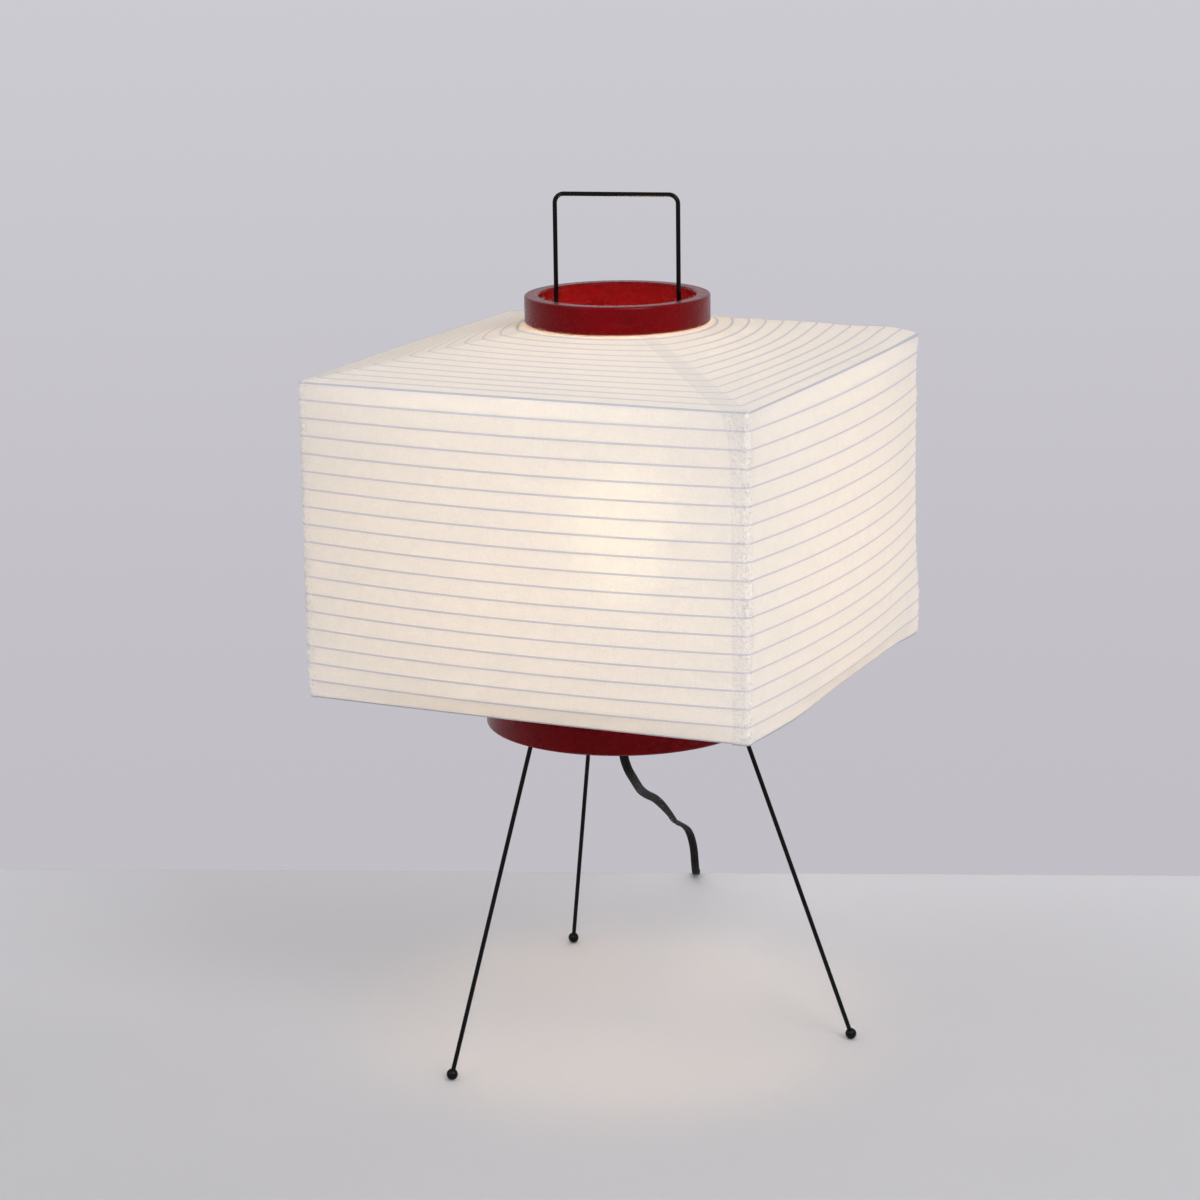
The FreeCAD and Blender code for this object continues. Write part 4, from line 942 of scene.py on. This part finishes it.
    def swell(self, face: Face, rib: float, place: Vector) -> float:
        """How far the paper swells out near a corner.

        Args:
            face: the face that the strip will cover.
            rib: hoop number.
            place: point of the strip while it still faces the front.

        Returns:
            The distance outwards.
        """
        half = self.level_of(rib)[0]
        out = 0.0
        for spot in self.swells:
            if spot.face is not face:
                continue
            inwards = half - place.x * spot.side
            near = math.exp(-((rib - spot.rib) / spot.rib_reach) ** 2)
            out += spot.height * near * math.exp(-((inwards - spot.inwards) / spot.reach) ** 2)
        return out

    def lift(self, rib: float, column: Column, place: Vector) -> float:
        """How far the paper stands off its plain surface.

        Args:
            rib: hoop number.
            column: column of the strip.
            place: point on the plain surface.

        Returns:
            The distance outwards.
        """
        free = smooth_step(*self.ring_hold, min(rib, self.spaces - rib))
        slack = math.sin(math.pi * (rib % 1.0)) ** 2
        raised = -self.sag * slack
        if column.anchor is Anchor.MIDDLE:
            end = 0.0 if column.flapped else smooth_step(1 - self.tuck_run, 1.0, abs(column.value))
            wave = self.wave * slack * noise.noise(place * self.wave_scale)
            raised += wave * (1 - end) - self.tuck * end
        else:
            crinkle = sum(height * noise.noise(place * rate) for height, rate in self.crinkles)
            crinkle *= self.crinkle_held + self.crinkle_slack * slack
            past = column.value if column.anchor is Anchor.CORNER else self.corner_reach
            near = 1 - smooth_step(self.corner_reach / 2, self.corner_reach, abs(past))
            raised += crinkle * near * self.on_side(rib)
            stood = self.flap_lift * smooth_step(-self.corner_reach, 0.0, past)
            if column.anchor is Anchor.FLAP:
                stood = between(self.flap_lift, self.flap_edge, column.value)
            raised += stood
        return raised * free

    def on_side(self, rib: float) -> float:
        """1 between the rims, falling to 0 on the slopes."""
        past_rim = max(self.top_spaces - rib, rib - self.last_rim)
        return 1 - smooth_step(0.0, 1.0, past_rim)

    def make_strip(self, face: Face, material: bpy.types.Material) -> bpy.types.Object:
        """Shape one strip of paper.

        Args:
            face: the face that it covers.
            material: its finish.

        Returns:
            The strip.
        """
        flapped = face in (Face.RIGHT, Face.LEFT)
        columns = self.columns(flapped)
        ribs = self.ribs()
        mesh = bmesh.new()
        names = ("rib", "pitch", "edge", "doubled", "rim")
        layers = {name: mesh.verts.layers.float.new(name) for name in names}
        places = grid_places(mesh, len(columns) - 1, len(ribs) - 1)
        for (i, j), vert in places.items():
            column = columns[i]
            vert.co = self.rounded_point(ribs[j], column)
            vert[layers["rib"]] = ribs[j]
            vert[layers["pitch"]] = self.spacing(ribs[j], column)
            # Marks the rims, where the finish paints a darker line of shade
            vert[layers["rim"]] = float(self.by_rim(ribs[j]))
            near = self.off_corner if column.anchor is Anchor.MIDDLE else abs(column.value)
            if column.anchor is not Anchor.MIDDLE and column.value >= 0:
                vert[layers["doubled"]] = between(self.slope_doubled, 1.0, self.on_side(ribs[j]))
            if column.anchor is Anchor.FLAP:
                near = self.corner_reach
            vert[layers["edge"]] = between(self.off_corner, near, self.on_side(ribs[j]))
        mesh.normal_update()
        if sum(part.normal.y for part in mesh.faces) > 0:
            bmesh.ops.reverse_faces(mesh, faces=mesh.faces)
            mesh.normal_update()
        raised = {}
        for (i, j), vert in places.items():
            out = self.lift(ribs[j], columns[i], vert.co) + self.swell(face, ribs[j], vert.co)
            raised[vert] = vert.normal * out
        for vert, step in raised.items():
            vert.co += step
        for edge in mesh.edges:
            edge.smooth = not edge.is_boundary
        turn = Matrix.Rotation(face.value * math.pi / 2, 4, "Z") @ Matrix.Scale(MM, 4)
        bmesh.ops.transform(mesh, matrix=turn, verts=mesh.verts)
        made = add_piece("paper_strip_" + face.name.lower(), mesh, material)
        wall = made.modifiers.new("thickness", "SOLIDIFY")
        wall.thickness = self.thick * MM
        wall.offset = -1.0
        return made

    def by_rim(self, rib: float) -> bool:
        """Whether a hoop number is nearest to one of the rims."""
        return min(abs(rib - self.top_spaces), abs(rib - self.last_rim)) < 0.5

    def spacing(self, rib: float, column: Column) -> float:
        """Distance from hoop to hoop, in widths of a hoop's line.

        Args:
            rib: hoop number.
            column: column of the strip.

        Returns:
            The distance.
        """
        if self.by_rim(rib):
            return self.pitch / self.rim_line
        if self.top_spaces < rib < self.last_rim:
            return self.pitch / self.side_line
        first, last = (0, self.top_spaces) if rib <= self.top_spaces else (self.last_rim, self.spaces)
        run = self.sheet_point(last, column) - self.sheet_point(first, column)
        return run.length / (last - first) / self.slope_line

    def build(self, workshop: Workshop) -> None:
        """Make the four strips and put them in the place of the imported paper.

        Args:
            workshop: hands out the finishes.
        """
        material = workshop.finish(Slot.PAPER)
        for face in Face:
            strip = self.make_strip(face, material)
            name = face.name.lower()
            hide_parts(*["paper_%s_%s" % (part, name) for part in ("side", "top", "bottom")])
            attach(strip, "lamp")
            log.info("%s stretched over the hoops", strip.name)


@dataclass
class CordSet:
    """Flat twin cord from the lamp to its plug, in millimetres along, right of and above its heading."""

    heading: float = 103.35
    width: float = 5.2
    core: float = 1.4
    core_offset: float = 1.2
    groove: float = 0.55
    lobe_reach: int = 120
    lobe_step: int = 30
    ahead_share: float = 0.5
    lamp_run: tuple[Point, ...] = (
        (0, 0, 171.95), (0, 0, 160), (5, 2, 149), (17, 3, 140), (34, 2, 131), (55, 0, 121.5), (80, -1, 111),
        (105, 0, 101), (129, 1, 88), (154, 1, 74.5), (178, -1, 63), (201, -1, 54.5), (219, 1, 45),
        (231, 2, 30), (241, 1, 15.5), (251, 0, 4.5), (265, -2, 1.9), (285, -7, 1.8), (299, -18, 3.4),
        (305, -31, 7.4), (309, -44, 9.4), (309, -58, 9.4),
    )
    switch_run: tuple[Point, ...] = (
        (309, -89, 9.4), (309, -120, 9.4), (309, -130.9, 9.4), (309, -141.9, 3.2), (309, -152.8, 3.2),
    )
    coil_middle: Span = (348.0, -158.0)
    coil_radius: float = 39.0
    coil_step: float = 6.0
    layer_turns: float = 3.25
    low_level: float = 3.2
    high_level: float = 8.95
    points_per_turn: int = 14
    tail: tuple[Point, ...] = ((387, -146, 8.95), (387, -134.8, 8.95), (387, -128, 8.95))
    route_steps: int = 8
    strap_middle: Span = (28.5, 6.35)
    strap_half: Span = (12.45, 6.05)
    strap_round: float = 2.8
    strap_width: float = 9.0
    strap_thick: float = 0.5
    strap_steps: int = 4
    strap_bends: int = 6
    strap_lap: Span = (-1.0, -0.5)
    strap_tip: Span = (0.6, 1.0)
    strap_end_middle: float = 2.5
    strap_end_half: Span = (6.5, 4.32)
    strap_curl: float = 0.5
    strap_finish: WovenFinish = WovenFinish(
        "strap_finish", colour=(0.014, 0.014, 0.014), worn=(0.03, 0.03, 0.03), turn=-heading)

    # In metres: where the cord twists and by how many degrees, where it turns on edge, how far from
    # its end it turns flat again, its length, and how close two points are when they become one
    twists: tuple[Recipe, ...] = ((0.0, 0.03, 45.0), (0.12, 0.2, -75.0), (0.23, 0.28, 30.0))
    on_edge: Span = (0.5, 0.62)
    flat_again: Span = (0.13, 0.03)
    length: float = 1.73
    weld: float = 1e-7

    def world(self, along: float, right: float, level: float) -> Vector:
        """Point of the lamp's frame in metres, from distances along, right of and above the heading."""
        turn = Matrix.Rotation(math.radians(self.heading), 3, "Z")
        return turn @ Vector((along, -right, level)) * MM

    def coil_point(self, turns: float) -> Point:
        """Point of the coil, which winds inwards below and then outwards above.

        Args:
            turns: turns from its start.

        Returns:
            Distances along, right and up.
        """
        inset = self.layer_turns - abs(turns - self.layer_turns)
        radius = self.coil_radius - self.coil_step * inset
        angle = -math.pi / 2 - 2 * math.pi * turns
        rise = smooth_step(0.0, 1.0, 2 * (turns - self.layer_turns) + 0.5)
        level = between(self.low_level, self.high_level, rise)
        return (self.coil_middle[0] + radius * math.sin(angle),
                self.coil_middle[1] + radius * math.cos(angle), level)

    def route(self) -> list[Vector]:
        """Control points of the cord.

        Returns:
            The points from the lamp to the plug.
        """
        count = round(2 * self.layer_turns * self.points_per_turn)
        coil = [self.coil_point(k / self.points_per_turn) for k in range(count + 1)]
        return [self.world(*point) for point in (*self.lamp_run, *self.switch_run, *coil, *self.tail)]

    def centre_line(self) -> list[Vector]:
        """Middle of the cord, on the smooth curve that the route guides.

        Returns:
            Its points from the lamp to the plug.
        """
        curve = bpy.data.curves.new("cord_route", "CURVE")
        curve.dimensions = "3D"
        curve.resolution_u = self.route_steps
        spline = curve.splines.new("NURBS")
        route = self.route()
        spline.points.add(len(route) - 1)
        for point, place in zip(spline.points, route):
            point.co = (*place, 1.0)
        spline.order_u = 3
        spline.use_endpoint_u = True
        guide = bpy.data.objects.new("cord_route", curve)
        bpy.context.scene.collection.objects.link(guide)
        bpy.context.view_layer.update()
        line = bpy.data.meshes.new_from_object(guide)
        points = [vert.co.copy() for vert in line.vertices]
        bpy.data.objects.remove(guide)
        bpy.data.curves.remove(curve)
        bpy.data.meshes.remove(line)
        return points

    def profile(self) -> list[Span]:
        """Outline of the twin cord across its run.

        Returns:
            Places in its width and its thickness, from its middle.
        """
        turns = range(-self.lobe_reach, self.lobe_reach + 1, self.lobe_step)
        lobe = [math.radians(turn) for turn in turns]
        right = [(self.core_offset + self.core * math.cos(a), self.core * math.sin(a)) for a in lobe]
        left = [(-x, -y) for x, y in right]
        return [*right, (0.0, self.groove), *left, (0.0, -self.groove)]

    def roll(self, run: float, whole: float) -> float:
        """Turn of the cord about its line: twisted as it hangs, on edge in the coil, flat at its end.

        Args:
            run: metres along the cord.
            whole: length of the cord.

        Returns:
            The turn in radians.
        """
        up = smooth_step(*self.on_edge, run)
        down = smooth_step(*(whole - left for left in self.flat_again), run)
        leant = sum(turn * smooth_step(start, end, run) for start, end, turn in self.twists)
        return math.pi / 2 * (up - down) + math.radians(leant)

    def make_strap(self) -> bpy.types.Object:
        """Strap round the coil, with its end laid back over it.

        Returns:
            The strap.
        """
        mesh = bmesh.new()
        bmesh.ops.create_grid(mesh, x_segments=1, y_segments=1, size=1.0)
        bmesh.ops.scale(mesh, vec=(*self.strap_half, 1.0), verts=mesh.verts)
        bmesh.ops.bevel(mesh, geom=mesh.verts[:], offset=self.strap_round, offset_type="OFFSET",
                        affect="VERTICES", segments=self.strap_bends, profile=0.5, material=-1)
        bmesh.ops.delete(mesh, geom=mesh.faces[:], context="FACES_ONLY")
        bmesh.ops.translate(mesh, vec=(0.0, 0.0, -self.strap_width / 2), verts=mesh.verts)
        edges = mesh.edges[:]
        for _ in range(self.strap_steps):
            grown = bmesh.ops.extrude_edge_only(mesh, edges=edges)["geom"]
            fresh = [part for part in grown if isinstance(part, bmesh.types.BMVert)]
            edges = [part for part in grown if isinstance(part, bmesh.types.BMEdge) and
                     all(vert in fresh for vert in part.verts)]
            bmesh.ops.translate(mesh, vec=(0.0, 0.0, self.strap_width / self.strap_steps), verts=fresh)
        bmesh.ops.recalc_face_normals(mesh, faces=mesh.faces)
        end = bmesh.ops.create_grid(mesh, x_segments=10, y_segments=4, size=1.0)["verts"]
        for vert in end:
            along = vert.co.x
            stand = self.strap_thick * smooth_step(*self.strap_lap, along)
            stand += self.strap_curl * smooth_step(*self.strap_tip, along)
            place = self.strap_end_middle + self.strap_end_half[0] * along
            vert.co = Vector((place, self.strap_half[1] + stand, self.strap_end_half[1] * vert.co.y))
        for vert in mesh.verts:
            aside, level, across = vert.co
            right = self.coil_middle[1] + self.strap_middle[0] + aside
            vert.co = self.world(self.coil_middle[0] + across, right, self.strap_middle[1] + level)
        strap = add_piece("coil_strap", mesh, self.strap_finish.make())
        wall = strap.modifiers.new("thickness", "SOLIDIFY")
        wall.thickness = self.strap_thick * MM
        wall.offset = 0.0
        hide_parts("coil_tie")
        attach(strap, "lamp")
        log.info("%s closed round the coil", strap.name)
        return strap

    def build(self, workshop: Workshop) -> None:
        """Args:
            workshop: hands out the finishes.
        """
        line = self.centre_line()
        runs = [0.0]
        for before, after in zip(line, line[1:]):
            runs.append(runs[-1] + (after - before).length)
        profile = self.profile()
        mesh = bmesh.new()
        places = grid_places(mesh, len(profile), len(line) - 1)
        ahead = self.world(1 / MM, 0.0, 0.0)
        for j, place in enumerate(line):
            onward = (line[min(j + 1, len(line) - 1)] - line[max(j - 1, 0)]).normalized()
            level = Vector((onward.x, onward.y, 0.0)) + ahead * (self.ahead_share * onward.z ** 2)
            aside = Vector((level.y, -level.x, 0.0)).normalized()
            upright = aside.cross(onward).normalized()
            aside = onward.cross(upright)
            turn = self.roll(runs[j], runs[-1])
            wide = aside * math.cos(turn) + upright * math.sin(turn)
            thin = upright * math.cos(turn) - aside * math.sin(turn)
            for i in range(len(profile) + 1):
                across, through = profile[i % len(profile)]
                places[i, j].co = place + (wide * across + thin * through) * MM
        bmesh.ops.remove_doubles(mesh, verts=mesh.verts, dist=self.weld)
        bmesh.ops.holes_fill(mesh, edges=mesh.edges, sides=0)
        bmesh.ops.recalc_face_normals(mesh, faces=mesh.faces)
        cord = add_piece("flat_cord", mesh, workshop.finish(Slot.SHEATH))
        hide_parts("cord_lamp_run", "cord_switch_run", "cord_coil", "cord_plug_run")
        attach(cord, "lamp")
        on_cord = ["switch_lower_case", "switch_upper_case", "switch_rocker", "switch_screws", "rocker_pin",
                   "switch_terminals", "plug_body", "plug_pins", self.make_strap()]
        log.info("%s laid along %.3f m", cord.name, runs[-1])


@dataclass
class Studio:
    """Pale floor, pale wall behind it, soft light and the camera, in metres."""

    floor_colour: Colour = (0.535, 0.533, 0.556)
    wall_low: Colour = (0.535, 0.520, 0.560)
    wall_high: Colour = (0.615, 0.607, 0.650)
    light_level: float = 0.40
    floor_half: float = 20.0
    floor_fade: float = 0.9
    floor_cloud: float = 3.0
    floor_cover: float = 0.04
    floor_rough: float = 0.75
    floor_shine: float = 0.15
    wall_foot: Span = (-0.063, 0.259)
    wall_fade: float = 0.75
    wall_turn: float = 21.1
    wall_size: float = 8.0
    strip_level: float = 0.8
    strip_height: float = 0.5
    lights: tuple[tuple[str, Point, float], ...] = (
        ("right_light", (1.83, -1.19, 1.84), 44.5),
        ("left_light", (-0.9, -2.2, 1.7), 16.0),
    )
    light_size: float = 1.4
    aim: Point = (0.0, 0.0, 0.25)
    lens: float = 99.0
    sensor: float = 36.0
    eye_reach: float = 100.0
    eye: Point = (0.73966, -1.64903, 0.69426)
    eye_right: Point = (0.91098, 0.41225, -0.01288)
    eye_up: Point = (-0.08696, 0.22249, 0.97105)
    eye_back: Point = (0.40319, -0.88348, 0.23853)

    def build(self) -> None:
        """Set up the whole studio."""
        self.make_camera()
        self.make_world()
        self.make_floor()
        self.make_wall()
        for name, place, power in self.lights:
            self.make_light(name, place, power)
        bpy.context.scene.view_settings.view_transform = "Standard"

    def make_camera(self) -> None:
        """Stand the camera where the photograph was taken from."""
        data = bpy.data.cameras.new("eye")
        data.lens = self.lens
        data.sensor_width = self.sensor
        data.clip_end = self.eye_reach
        camera = bpy.data.objects.new("eye", data)
        turn = Matrix((self.eye_right, self.eye_up, self.eye_back)).transposed().to_4x4()
        camera.matrix_world = Matrix.Translation(self.eye) @ turn
        bpy.context.scene.collection.objects.link(camera)
        bpy.context.scene.camera = camera

    def seen_share(self, bench: ShaderBench) -> Socket:
        """Tell the rays of the camera, and of mirrors and glass, from the rest.

        Args:
            bench: the bench of the material or the world.

        Returns:
            1 for those rays, else 0.
        """
        path = bench.node("LightPath").outputs
        share = bench.maths("MAXIMUM", path["Is Camera Ray"], path["Is Glossy Ray"])
        return bench.maths("MAXIMUM", share, path["Is Transmission Ray"])

    def make_world(self) -> None:
        """Even light from all sides, seen as the wall's colour."""
        bench = ShaderBench(bpy.data.worlds.new("even_light"))
        lit = bench.shader("Background", {"Color": LIGHT, "Strength": self.light_level})
        seen = bench.shader("Background", {"Color": self.wall_high})
        surface = bench.mixed(self.seen_share(bench), lit, seen)
        bpy.context.scene.world = bench.finish(surface, "OutputWorld")

    def make_floor(self) -> None:
        """Lay the floor, which passes into the backdrop far from the lamp."""
        bench = ShaderBench.material("pale_floor")
        cloud = bench.span(bench.noise(bench.place(), self.floor_cloud), *SWING, end=self.floor_cover)
        surface = bench.shader("BsdfPrincipled", {
            "Base Color": bench.blend(cloud, self.floor_colour, WHITE),
            "Roughness": self.floor_rough,
            "Specular IOR Level": self.floor_shine,
        })
        reach = bench.node("VectorMath", {0: bench.place()}, operation="LENGTH").outputs["Value"]
        far = bench.span(reach, self.floor_fade, 3 * self.floor_fade)
        horizon = bench.span(reach, 3 * self.floor_fade, self.floor_half / 2)
        backdrop = bench.shader("Emission", {"Color": bench.blend(horizon, self.wall_low, self.wall_high)})
        surface = bench.mixed(bench.times(far, self.seen_share(bench)), surface, backdrop)
        mesh = bmesh.new()
        bmesh.ops.create_grid(mesh, x_segments=1, y_segments=1, size=self.floor_half)
        floor = add_piece("floor", mesh, bench.finish(surface))

    def make_wall(self) -> None:
        """Stand the wall behind the lamp, seen from its front only, with light from its foot."""
        bench = ShaderBench.material("pale_wall")
        level = bench.node("SeparateXYZ", {0: bench.place()}).outputs["Z"]
        colour = bench.blend(bench.span(level, 0.0, self.wall_fade), self.wall_low, self.wall_high)
        glow = bench.shader("Emission", {"Color": colour})
        clear = bench.shader("BsdfTransparent", {})
        low = bench.span(level, self.strip_height / 2, self.strip_height, self.strip_level, 0.0)
        strip = bench.shader("Emission", {"Color": LIGHT, "Strength": low})
        behind = bench.node("NewGeometry").outputs["Backfacing"]
        seen = bench.mixed(behind, glow, clear)
        surface = bench.mixed(self.seen_share(bench), bench.added(strip, clear), seen)
        mesh = bmesh.new()
        bmesh.ops.create_grid(mesh, x_segments=1, y_segments=1, size=self.wall_size)
        stand = Matrix.Rotation(math.radians(self.wall_turn), 4, "Z") @ Matrix.Rotation(math.pi / 2, 4, "X")
        foot = Matrix.Translation((*self.wall_foot, self.wall_size))
        bmesh.ops.transform(mesh, matrix=foot @ stand, verts=mesh.verts)
        wall = add_piece("wall", mesh, bench.finish(surface))

    def make_light(self, name: str, place: Point, power: float) -> None:
        """Hang one large soft light and turn it to the lamp.

        Args:
            name: name of the light.
            place: where it hangs.
            power: its power in watts.
        """
        data = bpy.data.lights.new(name, "AREA")
        data.energy = power
        data.size = self.light_size
        light = bpy.data.objects.new(name, data)
        light.location = place
        aim = Vector(self.aim) - light.location
        light.rotation_euler = aim.to_track_quat("-Z", "Y").to_euler()
        bpy.context.scene.collection.objects.link(light)


def main() -> None:
    """Build the lamp's looks in order."""
    logging.basicConfig(level=logging.INFO, format="%(name)s: %(message)s")
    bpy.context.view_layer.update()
    workshop = Workshop()
    Studio().build()
    CordSet().build(workshop)
    workshop.dress_frame()
    PaperShade().build(workshop)


if __name__ == "__main__":
    main()
